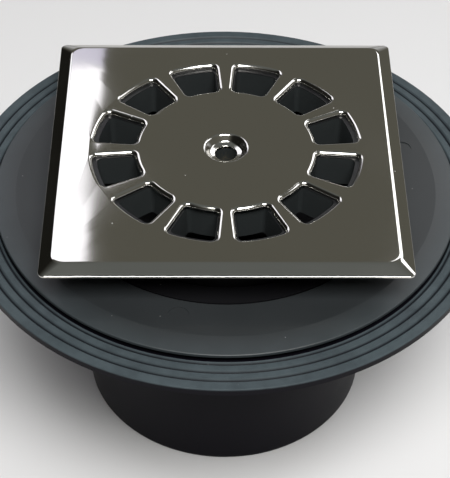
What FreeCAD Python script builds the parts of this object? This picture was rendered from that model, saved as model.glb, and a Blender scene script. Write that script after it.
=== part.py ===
"""Shower tray waste with a square slotted grate, a height-adjusting riser and a clamping flange.

Millimetres. +Z is up. The origin is the centre of the underside of the waste body, and the outlet
leaves towards +Y. Every size is kept in the sheet "dims", and the sketches read it.
"""
import FreeCAD
import Part
import Sketcher
import math
import os

DRIVING_SIZES = (
    ("overall_height", 131.0, "top of the grate above the underside of the body"),
    ("plate_side", 150.0, "side of the square grate plate"),
    ("plate_corner", 2.6, "radius of the plate's outer corners"),
    ("flat_corner", 3.4, "radius of the corners of the plate's flat, at the bend"),
    ("sheet", 1.2, "thickness of the plate's steel sheet"),
    ("bevel_width", 5.3, "width of the bent-down edge, seen from above"),
    ("bevel_drop", 2.7, "how far the bent-down edge falls"),
    ("bend_radius", 3.0, "radius along the bend of the edge"),
    ("hem", 0.2, "upright wall under the bent-down edge"),
    ("slot_count", 12.0, "slots in the grate"),
    ("slot_margin", 12.8, "metal between the ring of slots and the bend of the plate's edge"),
    ("slot_length", 18.0, "length of a slot, outwards"),
    ("slot_half_angle", 10.4, "half of the angle that one slot takes"),
    ("slot_corner", 2.1, "radius of a slot's corners"),
    ("lip_wall", 1.0, "wall of the turned-down lip round each slot"),
    ("lip_depth", 2.3, "depth of the lip below the top of the plate"),
    ("lip_round", 1.4, "radius on the top edge of each slot"),
    ("dimple_radius", 9.0, "radius of the central dimple at the top"),
    ("dimple_bend", 6.9, "radius where the dimple's steep side meets its seat"),
    ("dimple_side", 2.7, "depth of the dimple's steep side"),
    ("dimple_round", 1.5, "radius on the top edge of the dimple"),
    ("dimple_hole", 4.7, "radius of the hole in the dimple"),
    ("dimple_depth", 3.2, "depth of the dimple at its hole"),
    ("cell_inset", 1.7, "outer wall of a carrier's cell inside the outer edge of its slot"),
    ("cell_lap", 1.3, "how far a cell reaches inwards past its slot"),
    ("cell_half_angle", 10.0, "half of the angle that one cell takes"),
    ("cell_draft", 2.0, "draft of the cell walls, in degrees"),
    ("cell_wall", 2.0, "wall of the carrier round the ring of cells"),
    ("cell_depth", 14.0, "depth of the carrier's cells"),
    ("carrier_rim", 3.0, "thickness of the carrier's rim and hub"),
    ("carrier_margin", 7.6, "width of the carrier's rim outside its cells"),
    ("boss_radius", 8.5, "radius of the carrier's central boss"),
    ("boss_length", 20.0, "length of the boss below the hub's top"),
    ("boss_taper", 1.0, "how much narrower the boss is at its foot"),
    ("well_depth", 10.5, "depth of the well above the threaded insert"),
    ("well_radius", 5.0, "radius of the well above the threaded insert"),
    ("insert_radius", 3.5, "outer radius of the threaded insert"),
    ("insert_bore", 2.1, "radius of the bore of the threaded insert"),
    ("insert_length", 8.0, "length of the threaded insert"),
    ("insert_end", 3.0, "length of the full-width ends of the insert"),
    ("insert_groove", 0.5, "depth of the waist between those ends"),
    ("hub_rib", 2.0, "thickness of the ribs under the carrier's hub"),
    ("hub_rib_count", 6.0, "ribs under the carrier's hub"),
    ("hub_rib_depth", 7.0, "depth of the ribs under the carrier's hub"),
    ("riser_step", 0.8, "riser's tube inside the edge of the carrier that it carries"),
    ("riser_wall", 3.0, "wall of the riser's tube"),
    ("riser_head_wall", 3.2, "wall of the riser's head round the carrier"),
    ("riser_head_height", 7.9, "height of the riser's head above its cone"),
    ("riser_cone", 4.0, "height of the cone between the riser's tube and head"),
    ("riser_rim_drop", 3.1, "top of the riser below the top of the grate"),
    ("riser_room", 6.0, "room between the trap's seat ring and the riser"),
    ("riser_lead", 4.0, "height of the tapered lead at the riser's foot"),
    ("riser_taper", 1.0, "how much narrower the riser is at its foot"),
    ("edge_break", 1.0, "chamfer on the upper edges of the rings"),
    ("seat_gap", 0.3, "radial clearance of a piece that drops into a seat"),
    ("slide_gap", 0.4, "radial clearance of the riser in its collar"),
    ("turn_gap", 0.3, "radial clearance of the collar in the clamp ring"),
    ("collar_wall", 6.9, "wall of the swivel collar"),
    ("collar_length", 14.4, "length of the swivel collar"),
    ("collar_flange", 3.0, "width of the flange that hangs the swivel collar"),
    ("collar_flange_thick", 1.9, "thickness of the swivel collar's flange"),
    ("collar_set_down", 0.6, "top of the swivel collar below the top of the clamp ring"),
    ("seal_height", 4.2, "height of the riser's lip seal"),
    ("seal_depth", 3.5, "radial depth of the riser's lip seal"),
    ("seal_above_foot", 4.5, "seal groove above the lower end of the collar"),
    ("seal_lip_height", 1.8, "height of each of the seal's lips"),
    ("seal_nose", 0.5, "height of the bevel in front of a lip"),
    ("seal_hollow", 1.3, "depth of the hollow between the lips"),
    ("lip_gap", 0.3, "clearance between the seal's lips and the riser"),
    ("o_ring_cord", 1.1, "radius of the collar's O-ring cord"),
    ("ring_margin", 15.0, "width of the flange that the clamp ring leaves open"),
    ("ring_drop", 20.0, "top of the clamp ring below the top of the grate"),
    ("ring_edge_drop", 1.4, "how far the clamp ring's outer band slopes down"),
    ("ring_band", 9.1, "width of the clamp ring's outer band"),
    ("ring_edge", 1.3, "thickness of the clamp ring at its edge"),
    ("ring_relief", 5.0, "width of the relief under the clamp ring's edge"),
    ("relief_depth", 1.5, "depth of that relief"),
    ("ring_round", 0.5, "radius on the clamp ring's upper outer edge"),
    ("neck_wall", 8.0, "wall of the clamp ring's threaded neck"),
    ("neck_gap", 0.4, "radial clearance of the neck in the mouth"),
    ("mark_radius", 4.3, "radius of the ejector marks on the clamp ring"),
    ("mark_depth", 0.3, "depth of the ejector marks"),
    ("mark_count", 3.0, "ejector marks on the clamp ring"),
    ("mark_inset", 8.9, "distance of the ejector marks from the ring's recess"),
    ("mark_turn", 256.3, "direction of the first ejector mark, in degrees"),
    ("gasket", 1.5, "thickness of the gasket under the clamp ring"),
    ("gasket_margin", 2.5, "gasket's inner edge outside the bore of the mouth"),
    ("neck_gasket_thick", 2.0, "thickness of the gasket under the neck"),
    ("neck_gasket_width", 5.0, "width of the gasket under the neck"),
    ("neck_gasket_margin", 1.0, "neck gasket's outer edge inside the bore of the mouth"),
    ("flange_width", 34.0, "how far the body's flange reaches out from its mouth"),
    ("flange_thick", 2.2, "thickness of the body's flange under its ridges"),
    ("flange_round", 0.6, "radius on the flange's upper outer edge"),
    ("furrow_count", 3.0, "furrows round the body's flange"),
    ("furrow_pitch", 4.3, "pitch of the furrows"),
    ("furrow_margin", 4.95, "first furrow from the flange's edge"),
    ("furrow_half", 0.95, "half of the width of a furrow"),
    ("furrow_depth", 0.9, "depth of a furrow"),
    ("ridge_height", 1.1, "height of the ridges between the furrows"),
    ("ridge_run", 1.0, "width of the slope inside the last ridge"),
    ("mouth_wall", 3.0, "wall of the body's threaded mouth"),
    ("mouth_depth", 14.3, "depth of the mouth below the top of the flange"),
    ("shoulder", 4.0, "height of the sloping shoulder under the mouth"),
    ("pot_room", 2.5, "room between the riser and the top of the pot's inner wall"),
    ("base_round", 2.0, "radius of the body's lower edge"),
    ("pot_spread", 4.0, "how far the pot's wall spreads up to the shoulder"),
    ("pot_wall", 3.0, "wall of the pot at its foot"),
    ("pot_floor", 3.0, "floor of the pot"),
    ("pot_draft", 1.0, "how far the pot's inner wall spreads above the ledge"),
    ("ledge_height", 64.0, "height of the ledge that carries the trap's seat ring"),
    ("ledge_width", 2.0, "width of that ledge"),
    ("outlet_radius", 20.0, "outer radius of the outlet spigot"),
    ("outlet_wall", 2.4, "wall of the outlet spigot"),
    ("outlet_height", 28.0, "axis of the outlet above the underside"),
    ("spigot_length", 34.0, "length of the outlet spigot outside its pipe stop"),
    ("outlet_chamfer", 1.2, "chamfer at the end of the outlet spigot"),
    ("stop_radius", 24.0, "radius of the pipe stop at the root of the spigot"),
    ("stop_proud", 0.5, "pipe stop's face outside the pot's widest radius"),
    ("gusset_count", 12.0, "gussets under the flange"),
    ("gusset_thick", 2.5, "thickness of a gusset"),
    ("gusset_reach", 20.0, "how far a gusset runs out under the flange"),
    ("gusset_height", 10.0, "height of a gusset at the mouth's wall"),
    ("gusset_tip", 1.0, "height of a gusset at its outer end"),
    ("seat_height", 6.0, "height of the trap's seat ring"),
    ("seat_wall", 7.7, "wall of the seat ring round the trap"),
    ("seat_shelf", 5.5, "width of the shelf that carries the trap"),
    ("seat_floor", 2.5, "thickness of the seat ring under that recess"),
    ("disc_thick", 3.0, "thickness of the trap's disc"),
    ("disc_gap", 0.4, "radial clearance of the disc in its recess"),
    ("water_gap", 16.0, "gap between the dip tube and the cup"),
    ("dip_wall", 2.0, "wall of the dip tube"),
    ("dip_clear", 10.0, "dip tube's lower end above the cup's floor"),
    ("dip_round", 2.8, "radius of the rounded mouth of the dip tube"),
    ("groove_rise", 0.5, "groove above the underside of the disc"),
    ("groove_height", 2.0, "height of the groove in the disc's edge"),
    ("groove_depth", 1.7, "depth of the groove in the disc's edge"),
    ("disc_ring_cord", 0.95, "radius of the trap's O-ring cord"),
    ("bail_radius", 2.2, "radius of the bar of the trap's lifting bail"),
    ("bail_height", 13.0, "height of the bail above the disc"),
    ("bail_clear", 7.0, "bail's feet outside the dip tube"),
    ("bail_bend", 9.0, "radius of the bail's bends"),
    ("bail_root", 1.0, "how deep the bail's feet sit in the disc"),
    ("drain_gap", 18.5, "gap between the cup and the pot's wall"),
    ("cup_wall", 2.0, "wall of the cup"),
    ("cup_chamfer", 3.0, "chamfer round the cup's floor"),
    ("cup_clear", 3.0, "cup above the floor of the pot"),
    ("spill_height", 10.5, "cup's rim below the disc, where the water spills over"),
    ("cup_post_width", 9.0, "width of the posts that hold the cup"),
    ("cup_post_count", 4.0, "posts that hold the cup"),
    ("cup_post_root", 8.0, "how far a post runs down in the cup's wall"),
)

WORKED_OUT_SIZES = (
    ("sheet_under", "overall_height - sheet", "underside of the flat of the plate"),
    ("bevel_top", "overall_height - bevel_drop", "top of the plate's outer edge"),
    ("bevel_under", "bevel_top - sheet / cos(atan(bevel_drop / bevel_width))", "underside of the edge"),
    ("flat_side", "plate_side - 2 * bevel_width", "side of the flat of the plate"),
    ("under_side", "plate_side - 2 * hem", "side of the hollow under the plate"),
    ("under_slope", "(sheet_under - bevel_under) * bevel_width / bevel_drop", "run of the inner bevel"),
    ("under_flat_side", "under_side - 2 * under_slope", "side of the hollow at its top"),
    ("slot_outer", "flat_side / 2 - slot_margin", "outer radius of the ring of slots"),
    ("slot_inner", "slot_outer - slot_length", "inner radius of the ring of slots"),
    ("lip_foot", "overall_height - lip_depth", "lower end of the slots' lips"),
    ("slot_start", "180 / slot_count - slot_half_angle", "angle where a slot starts"),
    ("slot_end", "180 / slot_count + slot_half_angle", "angle where a slot ends"),
    ("lip_spread", "lip_wall * 360 / pi / (slot_outer + slot_inner)", "angle that a lip's wall takes"),
    ("lip_start", "slot_start - lip_spread", "angle where a lip starts"),
    ("lip_end", "slot_end + lip_spread", "angle where a lip ends"),
    ("dimple_floor", "overall_height - dimple_depth", "top of the sheet at the dimple's hole"),
    ("dimple_seat", "overall_height - dimple_side", "top of the sheet where the dimple's seat starts"),
    ("dimple_back_foot", "dimple_bend + 0.3 * sheet", "radius of the dimple's back at its foot"),
    ("dimple_back", "dimple_radius + 0.7 * sheet", "radius of the dimple's back at the sheet"),
    ("cell_outer", "slot_outer - cell_inset", "outer radius of the ring of carrier cells"),
    ("cell_inner", "slot_inner - cell_lap", "inner radius of the ring of carrier cells"),
    ("carrier_radius", "cell_outer + carrier_margin", "outer radius of the carrier"),
    ("carrier_top", "lip_foot", "top of the carrier, where the lips stand"),
    ("carrier_under", "carrier_top - carrier_rim", "underside of the carrier's rim"),
    ("carrier_foot", "carrier_top - cell_depth", "lower end of the cells"),
    ("rib_reach", "cell_inner - cell_wall / 2", "where the hub's ribs end in the wall of the cells"),
    ("cell_start", "180 / slot_count - cell_half_angle", "angle where a cell starts"),
    ("cell_end", "180 / slot_count + cell_half_angle", "angle where a cell ends"),
    ("dish_floor", "dimple_floor - sheet - seat_gap", "floor of the carrier's dish under the dimple"),
    ("boss_foot", "carrier_top - boss_length", "lower end of the boss"),
    ("insert_top", "carrier_top - well_depth", "top of the threaded insert"),
    ("insert_foot", "insert_top - insert_length", "lower end of the threaded insert"),
    ("waist_foot", "insert_foot + insert_end", "lower end of the insert's waist"),
    ("waist_top", "insert_top - insert_end", "upper end of the insert's waist"),
    ("riser_top", "overall_height - riser_rim_drop", "top of the riser"),
    ("riser_radius", "carrier_radius - riser_step", "outer radius of the riser's tube"),
    ("riser_bore", "riser_radius - riser_wall", "inner radius of the riser"),
    ("head_bore", "carrier_radius + seat_gap", "inner radius of the riser's head"),
    ("head_radius", "head_bore + riser_head_wall", "outer radius of the riser's head"),
    ("head_foot", "riser_top - riser_head_height", "lower end of the riser's head"),
    ("cone_foot", "head_foot - riser_cone", "lower end of the riser's cone"),
    ("ring_top", "overall_height - ring_drop", "top of the clamp ring"),
    ("edge_top", "ring_top - ring_edge_drop", "top of the clamp ring's edge"),
    ("edge_under", "edge_top - ring_edge", "underside of the clamp ring's edge"),
    ("ring_under", "edge_under - relief_depth", "underside of the clamp ring"),
    ("flange_top", "ring_under - gasket", "top of the body's flange inside its ridges"),
    ("flange_under", "flange_top - flange_thick", "underside of the body's flange"),
    ("ridge_top", "flange_top + ridge_height", "top of the ridges"),
    ("furrow_floor", "ridge_top - furrow_depth", "floor of the furrows"),
    ("collar_bore", "riser_radius + slide_gap", "inner radius of the swivel collar"),
    ("collar_radius", "collar_bore + collar_wall", "outer radius of the swivel collar"),
    ("collar_top", "ring_top - collar_set_down", "top of the swivel collar"),
    ("collar_foot", "collar_top - collar_length", "lower end of the swivel collar"),
    ("collar_rim", "collar_radius + collar_flange", "radius of the swivel collar's flange"),
    ("ring_ledge", "collar_top - collar_flange_thick", "ledge that the collar's flange hangs on"),
    ("ring_bore", "collar_radius + turn_gap", "inner radius of the clamp ring"),
    ("ring_recess", "collar_rim + turn_gap", "radius of the recess in the clamp ring"),
    ("seal_foot", "collar_foot + seal_above_foot", "lower face of the lip seal"),
    ("seal_top", "seal_foot + seal_height", "upper face of the lip seal"),
    ("seal_back", "collar_bore + seal_depth", "outer radius of the lip seal"),
    ("seal_lip", "riser_radius + lip_gap", "inner radius of the seal's lips"),
    ("cord_place", "collar_radius - o_ring_cord", "radius of the collar's O-ring"),
    ("cord_height", "collar_foot + 2 * o_ring_cord", "height of the collar's O-ring"),
    ("neck_radius", "ring_bore + neck_wall", "outer radius of the clamp ring's neck"),
    ("mouth_bore", "neck_radius + neck_gap", "inner radius of the body's mouth"),
    ("mouth_radius", "mouth_bore + mouth_wall", "outer radius of the body's mouth"),
    ("flange_radius", "mouth_radius + flange_width", "outer radius of the body's flange"),
    ("ring_radius", "flange_radius - ring_margin", "outer radius of the clamp ring"),
    ("band_inner", "ring_radius - ring_band", "inner radius of the ring's outer band"),
    ("relief_inner", "ring_radius - ring_relief", "inner radius of the relief under the ring"),
    ("gasket_inner", "mouth_bore + gasket_margin", "inner radius of the gasket under the ring"),
    ("neck_gasket_outer", "mouth_bore - neck_gasket_margin", "outer radius of the gasket under the neck"),
    ("mark_place", "ring_recess + mark_inset", "distance of the ejector marks from the centre"),
    ("gusset_root", "mouth_radius - mouth_wall / 2", "where a gusset starts in the mouth's wall"),
    ("mouth_floor", "flange_top - mouth_depth", "floor of the body's mouth"),
    ("neck_foot", "mouth_floor + neck_gasket_thick", "lower end of the clamp ring's neck"),
    ("shoulder_foot", "mouth_floor - mouth_wall", "lower end of the sloping shoulder"),
    ("pot_inner_top", "riser_radius + pot_room", "inner radius of the pot under the mouth"),
    ("pot_top_radius", "pot_inner_top + pot_wall", "outer radius of the pot at the shoulder"),
    ("base_radius", "pot_top_radius - pot_spread", "radius of the body's underside"),
    ("pot_foot_bore", "base_radius - pot_wall", "inner radius of the pot at its floor"),
    ("seat_pocket", "pot_inner_top - pot_draft", "inner radius at the ledge"),
    ("ledge_bore", "seat_pocket - ledge_width", "inner radius under the ledge"),
    ("stop_face", "pot_top_radius + stop_proud", "face of the pipe stop from the body's axis"),
    ("outlet_reach", "stop_face + spigot_length", "end of the outlet spigot from the body's axis"),
    ("outlet_bore", "outlet_radius - outlet_wall", "inner radius of the outlet"),
    ("seat_radius", "seat_pocket - seat_gap", "outer radius of the trap's seat ring"),
    ("seat_recess", "seat_radius - seat_wall", "radius of the recess that holds the trap"),
    ("seat_bore", "seat_recess - seat_shelf", "radius of the seat ring's bore"),
    ("seat_top", "ledge_height + seat_height", "top of the trap's seat ring"),
    ("riser_foot", "seat_top + riser_room", "lower end of the riser"),
    ("disc_under", "ledge_height + seat_floor", "underside of the trap's disc"),
    ("disc_top", "disc_under + disc_thick", "top of the trap's disc"),
    ("disc_radius", "seat_recess - disc_gap", "radius of the trap's disc"),
    ("disc_ring_height", "disc_under + groove_rise + groove_height / 2", "height of the trap's O-ring"),
    ("bail_foot", "disc_top - bail_root", "lower ends of the bail in the disc"),
    ("bail_top", "disc_top + bail_height", "middle of the bail's bar above the underside"),
    ("cup_radius", "pot_foot_bore - drain_gap", "outer radius of the trap's cup"),
    ("cup_bore", "cup_radius - cup_wall", "inner radius of the cup"),
    ("cup_foot", "pot_floor + cup_clear", "underside of the cup"),
    ("cup_floor", "cup_foot + cup_wall", "floor of the cup"),
    ("cup_rim", "disc_under - spill_height", "rim of the cup"),
    ("dip_radius", "cup_bore - water_gap", "outer radius of the dip tube"),
    ("dip_bore", "dip_radius - dip_wall", "inner radius of the dip tube"),
    ("bail_span", "dip_radius + bail_clear", "half of the distance between the bail's feet"),
    ("dip_foot", "cup_floor + dip_clear", "lower end of the dip tube"),
)

doc = FreeCAD.newDocument("ShowerTrayWaste")
sheet = doc.addObject("Spreadsheet::Sheet", "dims")


def fill_sheet():
    """Write the driving sizes as plain numbers, and under them the sizes that follow from them."""
    rows = [(alias, str(size), words) for alias, size, words in DRIVING_SIZES]
    rows += [(alias, "=" + formula, words) for alias, formula, words in WORKED_OUT_SIZES]
    for row, (alias, content, words) in enumerate(rows, start=1):
        sheet.set(f"A{row}", words)
        sheet.set(f"B{row}", content)
        sheet.setAlias(f"B{row}", alias)
    doc.recompute()


def value(text):
    """The number that a sum of sheet names and plain numbers, such as "ring_top - sheet", comes to."""
    total = 0.0
    sign = 1.0
    for word in text.split():
        if word in "+-":
            sign = -1.0 if word == "-" else 1.0
        else:
            total += sign * (float(sheet.get(word)) if word[0].isalpha() else float(word))
    return total


def bound(text):
    """The same sum as an expression that reads the sheet."""
    return " ".join("dims." + word if word[0].isalpha() else word for word in text.split())


def new_body(label):
    """An empty body under its label."""
    body = doc.addObject("PartDesign::Body", label)
    body.Label = label
    return body


def origin_feature(body, role):
    """One of the axes or planes that every body starts with."""
    return next(item for item in body.Origin.OriginFeatures if item.Role == role)


def new_sketch(body, name, plane, height="0"):
    """A sketch on one of the body's own planes, moved along the plane's normal by height."""
    sketch = body.newObject("Sketcher::SketchObject", name)
    sketch.AttachmentSupport = [(origin_feature(body, plane), "")]
    sketch.MapMode = "FlatFace"
    if height != "0":
        sketch.setExpression(".AttachmentOffset.Base.z", bound(height))
    return sketch


def pin_coordinate(sketch, kind, edge, end, text):
    """Hold one coordinate of an edge's end at the value of a sum of sheet names."""
    if text == "0":
        axis = -2 if kind == "DistanceX" else -1
        sketch.addConstraint(Sketcher.Constraint("PointOnObject", edge, end, axis))
        return
    number = sketch.addConstraint(Sketcher.Constraint(kind, -1, 1, edge, end, value(text)))
    sketch.setExpression(f"Constraints[{number}]", bound(text))


def draw_polygon(sketch, corners):
    """A closed outline of straight edges, with each corner's two coordinates read from the sheet."""
    points = [FreeCAD.Vector(value(across), value(up), 0) for across, up in corners]
    count = len(points)
    for index, point in enumerate(points):
        sketch.addGeometry(Part.LineSegment(point, points[(index + 1) % count]), False)
    sketch.addConstraint([Sketcher.Constraint("Coincident", index, 2, (index + 1) % count, 1)
                          for index in range(count)])
    for index, (across, up) in enumerate(corners):
        pin_coordinate(sketch, "DistanceX", index, 1, across)
        pin_coordinate(sketch, "DistanceY", index, 1, up)


def draw_circle(sketch, radius, across="0", up="0"):
    """A circle with its middle pinned from the origin of the sketch."""
    centre = FreeCAD.Vector(value(across), value(up), 0)
    circle = sketch.addGeometry(Part.Circle(centre, FreeCAD.Vector(0, 0, 1), value(radius)), False)
    number = sketch.addConstraint(Sketcher.Constraint("Radius", circle, value(radius)))
    sketch.setExpression(f"Constraints[{number}]", bound(radius))
    pin_coordinate(sketch, "DistanceX", circle, 3, across)
    pin_coordinate(sketch, "DistanceY", circle, 3, up)


def draw_rounded_square(sketch, side, corner):
    """A square about the origin whose corners are arcs."""
    half = value(side) / 2
    radius = value(corner)
    inner = half - radius
    signs = ((1, 1), (-1, 1), (-1, -1), (1, -1))
    quarter = math.pi / 2
    for index, (x_sign, y_sign) in enumerate(signs):
        centre = FreeCAD.Vector(x_sign * inner, y_sign * inner, 0)
        circle = Part.Circle(centre, FreeCAD.Vector(0, 0, 1), radius)
        sketch.addGeometry(Part.ArcOfCircle(circle, index * quarter, (index + 1) * quarter), False)
    sides = (((inner, half), (-inner, half)), ((-half, inner), (-half, -inner)),
             ((-inner, -half), (inner, -half)), ((half, -inner), (half, inner)))
    for start, end in sides:
        sketch.addGeometry(Part.LineSegment(FreeCAD.Vector(*start, 0), FreeCAD.Vector(*end, 0)), False)
    for index in range(4):
        sketch.addConstraint(Sketcher.Constraint("Tangent", index, 2, index + 4, 1))
        sketch.addConstraint(Sketcher.Constraint("Tangent", index + 4, 2, (index + 1) % 4, 1))
        sketch.addConstraint(Sketcher.Constraint(("Horizontal", "Vertical")[index % 2], index + 4))
    for index in range(1, 4):
        sketch.addConstraint(Sketcher.Constraint("Equal", 0, index))
    sketch.addConstraint(Sketcher.Constraint("Symmetric", 0, 3, 2, 3, -1, 1))
    for kind, first, second in (("DistanceX", 5, 7), ("DistanceY", 6, 4)):
        number = sketch.addConstraint(Sketcher.Constraint(kind, first, 1, second, 1, value(side)))
        sketch.setExpression(f"Constraints[{number}]", bound(side))
    number = sketch.addConstraint(Sketcher.Constraint("Radius", 0, radius))
    sketch.setExpression(f"Constraints[{number}]", bound(corner))


def draw_sector(sketch, outer, inner, start, end, corner):
    """One slot of a ring of slots: two arcs about the origin, two radial sides and rounded corners."""
    reach, near, round_off = value(outer), value(inner), value(corner)
    first, last = math.radians(value(start)), math.radians(value(end))
    far_turn = math.asin(round_off / (reach - round_off))
    near_turn = math.asin(round_off / (near + round_off))
    far_tangent = math.sqrt((reach - round_off) ** 2 - round_off ** 2)
    near_tangent = math.sqrt((near + round_off) ** 2 - round_off ** 2)
    quarter = math.pi / 2

    def polar(distance, angle):
        return FreeCAD.Vector(distance * math.cos(angle), distance * math.sin(angle), 0)

    def arc(centre, radius, from_angle, to_angle):
        circle = Part.Circle(centre, FreeCAD.Vector(0, 0, 1), radius)
        return Part.ArcOfCircle(circle, from_angle, to_angle)

    outer_arc, inner_arc, first_side, last_side, far_last, near_last, near_first, far_first = range(8)
    middle = FreeCAD.Vector(0, 0, 0)
    sketch.addGeometry([
        arc(middle, reach, first + far_turn, last - far_turn),
        arc(middle, near, first + near_turn, last - near_turn),
        Part.LineSegment(polar(near_tangent, first), polar(far_tangent, first)),
        Part.LineSegment(polar(near_tangent, last), polar(far_tangent, last)),
        arc(polar(reach - round_off, last - far_turn), round_off, last - far_turn, last + quarter),
        arc(polar(near + round_off, last - near_turn), round_off, last + quarter, last - near_turn + math.pi),
        arc(polar(near + round_off, first + near_turn), round_off,
            first + near_turn + math.pi, first - quarter + 2 * math.pi),
        arc(polar(reach - round_off, first + far_turn), round_off, first - quarter, first + far_turn),
    ], False)
    joins = ((outer_arc, 2, far_last, 1), (far_last, 2, last_side, 2), (last_side, 1, near_last, 1),
             (near_last, 2, inner_arc, 2), (inner_arc, 1, near_first, 1), (near_first, 2, first_side, 1),
             (first_side, 2, far_first, 1), (far_first, 2, outer_arc, 1))
    sketch.addConstraint([Sketcher.Constraint("Tangent", *join) for join in joins])
    for edge in (outer_arc, inner_arc):
        sketch.addConstraint(Sketcher.Constraint("Coincident", edge, 3, -1, 1))
    for edge in (near_last, near_first, far_first):
        sketch.addConstraint(Sketcher.Constraint("Equal", far_last, edge))
    for edge in (first_side, last_side):
        sketch.addConstraint(Sketcher.Constraint("PointOnObject", -1, 1, edge))
    sizes = (("Radius", outer_arc, reach, outer), ("Radius", inner_arc, near, inner),
             ("Radius", far_last, round_off, corner), ("Angle", first_side, first, start),
             ("Angle", last_side, last, end))
    for kind, edge, size, text in sizes:
        number = sketch.addConstraint(Sketcher.Constraint(kind, edge, size))
        sketch.setExpression(f"Constraints[{number}]", bound(text))


def draw_bail(sketch, span, bend, foot, top):
    """An open path: up, round a bend, across, round a bend and down."""
    half, radius = value(span), value(bend)
    low, high = value(foot), value(top)
    left, left_bend, across, right_bend, right = range(5)

    def corner(x_place, from_angle):
        centre = FreeCAD.Vector(x_place, high - radius, 0)
        circle = Part.Circle(centre, FreeCAD.Vector(0, 0, 1), radius)
        return Part.ArcOfCircle(circle, from_angle, from_angle + math.pi / 2)

    def line(x_start, y_start, x_end, y_end):
        return Part.LineSegment(FreeCAD.Vector(x_start, y_start, 0), FreeCAD.Vector(x_end, y_end, 0))

    sketch.addGeometry([
        line(-half, low, -half, high - radius),
        corner(radius - half, math.pi / 2),
        line(radius - half, high, half - radius, high),
        corner(half - radius, 0),
        line(half, high - radius, half, low),
    ], False)
    joins = ((left, 2, left_bend, 2), (left_bend, 1, across, 1),
             (across, 2, right_bend, 2), (right_bend, 1, right, 1))
    sketch.addConstraint([Sketcher.Constraint("Tangent", *join) for join in joins])
    for edge in (left, right):
        sketch.addConstraint(Sketcher.Constraint("Vertical", edge))
    sketch.addConstraint(Sketcher.Constraint("Horizontal", across))
    sketch.addConstraint(Sketcher.Constraint("Equal", left_bend, right_bend))
    number = sketch.addConstraint(Sketcher.Constraint("Radius", left_bend, radius))
    sketch.setExpression(f"Constraints[{number}]", bound(bend))
    pin_coordinate(sketch, "DistanceX", left, 1, "- " + span)
    pin_coordinate(sketch, "DistanceY", left, 1, foot)
    pin_coordinate(sketch, "DistanceX", right, 2, span)
    pin_coordinate(sketch, "DistanceY", right, 2, foot)
    pin_coordinate(sketch, "DistanceY", across, 1, top)


def turn_outline(body, name, corners, cut=False):
    """Turn an outline, drawn as radius and height, round the body's vertical axis."""
    sketch = new_sketch(body, name + "_outline", "XZ_Plane")
    draw_polygon(sketch, corners)
    turned = body.newObject("PartDesign::Groove" if cut else "PartDesign::Revolution", name)
    turned.Profile = sketch
    turned.ReferenceAxis = (sketch, ["V_Axis"])
    turned.Angle = 360.0
    doc.recompute()
    return turned


def pad(body, sketch, name, length, reverse=False):
    """Raise a sketch by a length."""
    feature = body.newObject("PartDesign::Pad", name)
    feature.Profile = sketch
    feature.Reversed = reverse
    feature.setExpression("Length", bound(length))
    doc.recompute()
    return feature


def pocket(body, sketch, name, length, reverse=False, draft=None):
    """Cut from a sketch. A cut that removes nothing is an error."""
    before = body.Tip.Shape.Volume
    feature = body.newObject("PartDesign::Pocket", name)
    feature.Profile = sketch
    feature.Reversed = reverse
    feature.setExpression("Length", bound(length))
    if draft:
        feature.setExpression("TaperAngle", "-" + bound(draft))
    doc.recompute()
    if feature.Shape.Volume > before - 1e-3:
        raise RuntimeError(f"{name} cuts nothing")
    return feature


def repeat_round(body, feature, name, count):
    """Repeat a feature at equal steps about the vertical axis."""
    pattern = body.newObject("PartDesign::PolarPattern", name)
    pattern.Originals = [feature]
    pattern.Axis = (origin_feature(body, "Z_Axis"), [""])
    pattern.Angle = 360.0
    pattern.setExpression("Occurrences", bound(count))
    body.Tip = pattern
    doc.recompute()
    return pattern


def round_edges(body, name, radius, wanted):
    """Fillet those edges of the body, as it is now, that the test named wanted picks."""
    base = body.Tip
    names = [f"Edge{index}" for index, edge in enumerate(base.Shape.Edges, start=1) if wanted(edge)]
    if not names:
        raise RuntimeError(f"{name} finds no edge")
    feature = body.newObject("PartDesign::Fillet", name)
    feature.Base = (base, names)
    feature.setExpression("Radius", bound(radius))
    doc.recompute()
    return feature


def lies_at(edge, height):
    """Whether all of an edge lies at one height."""
    return abs(edge.BoundBox.ZMin - height) < 1e-4 and abs(edge.BoundBox.ZMax - height) < 1e-4


def distance_from_axis(edge):
    """How far the middle of an edge is from the vertical axis."""
    middle = edge.CenterOfMass
    return math.hypot(middle.x, middle.y)


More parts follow.
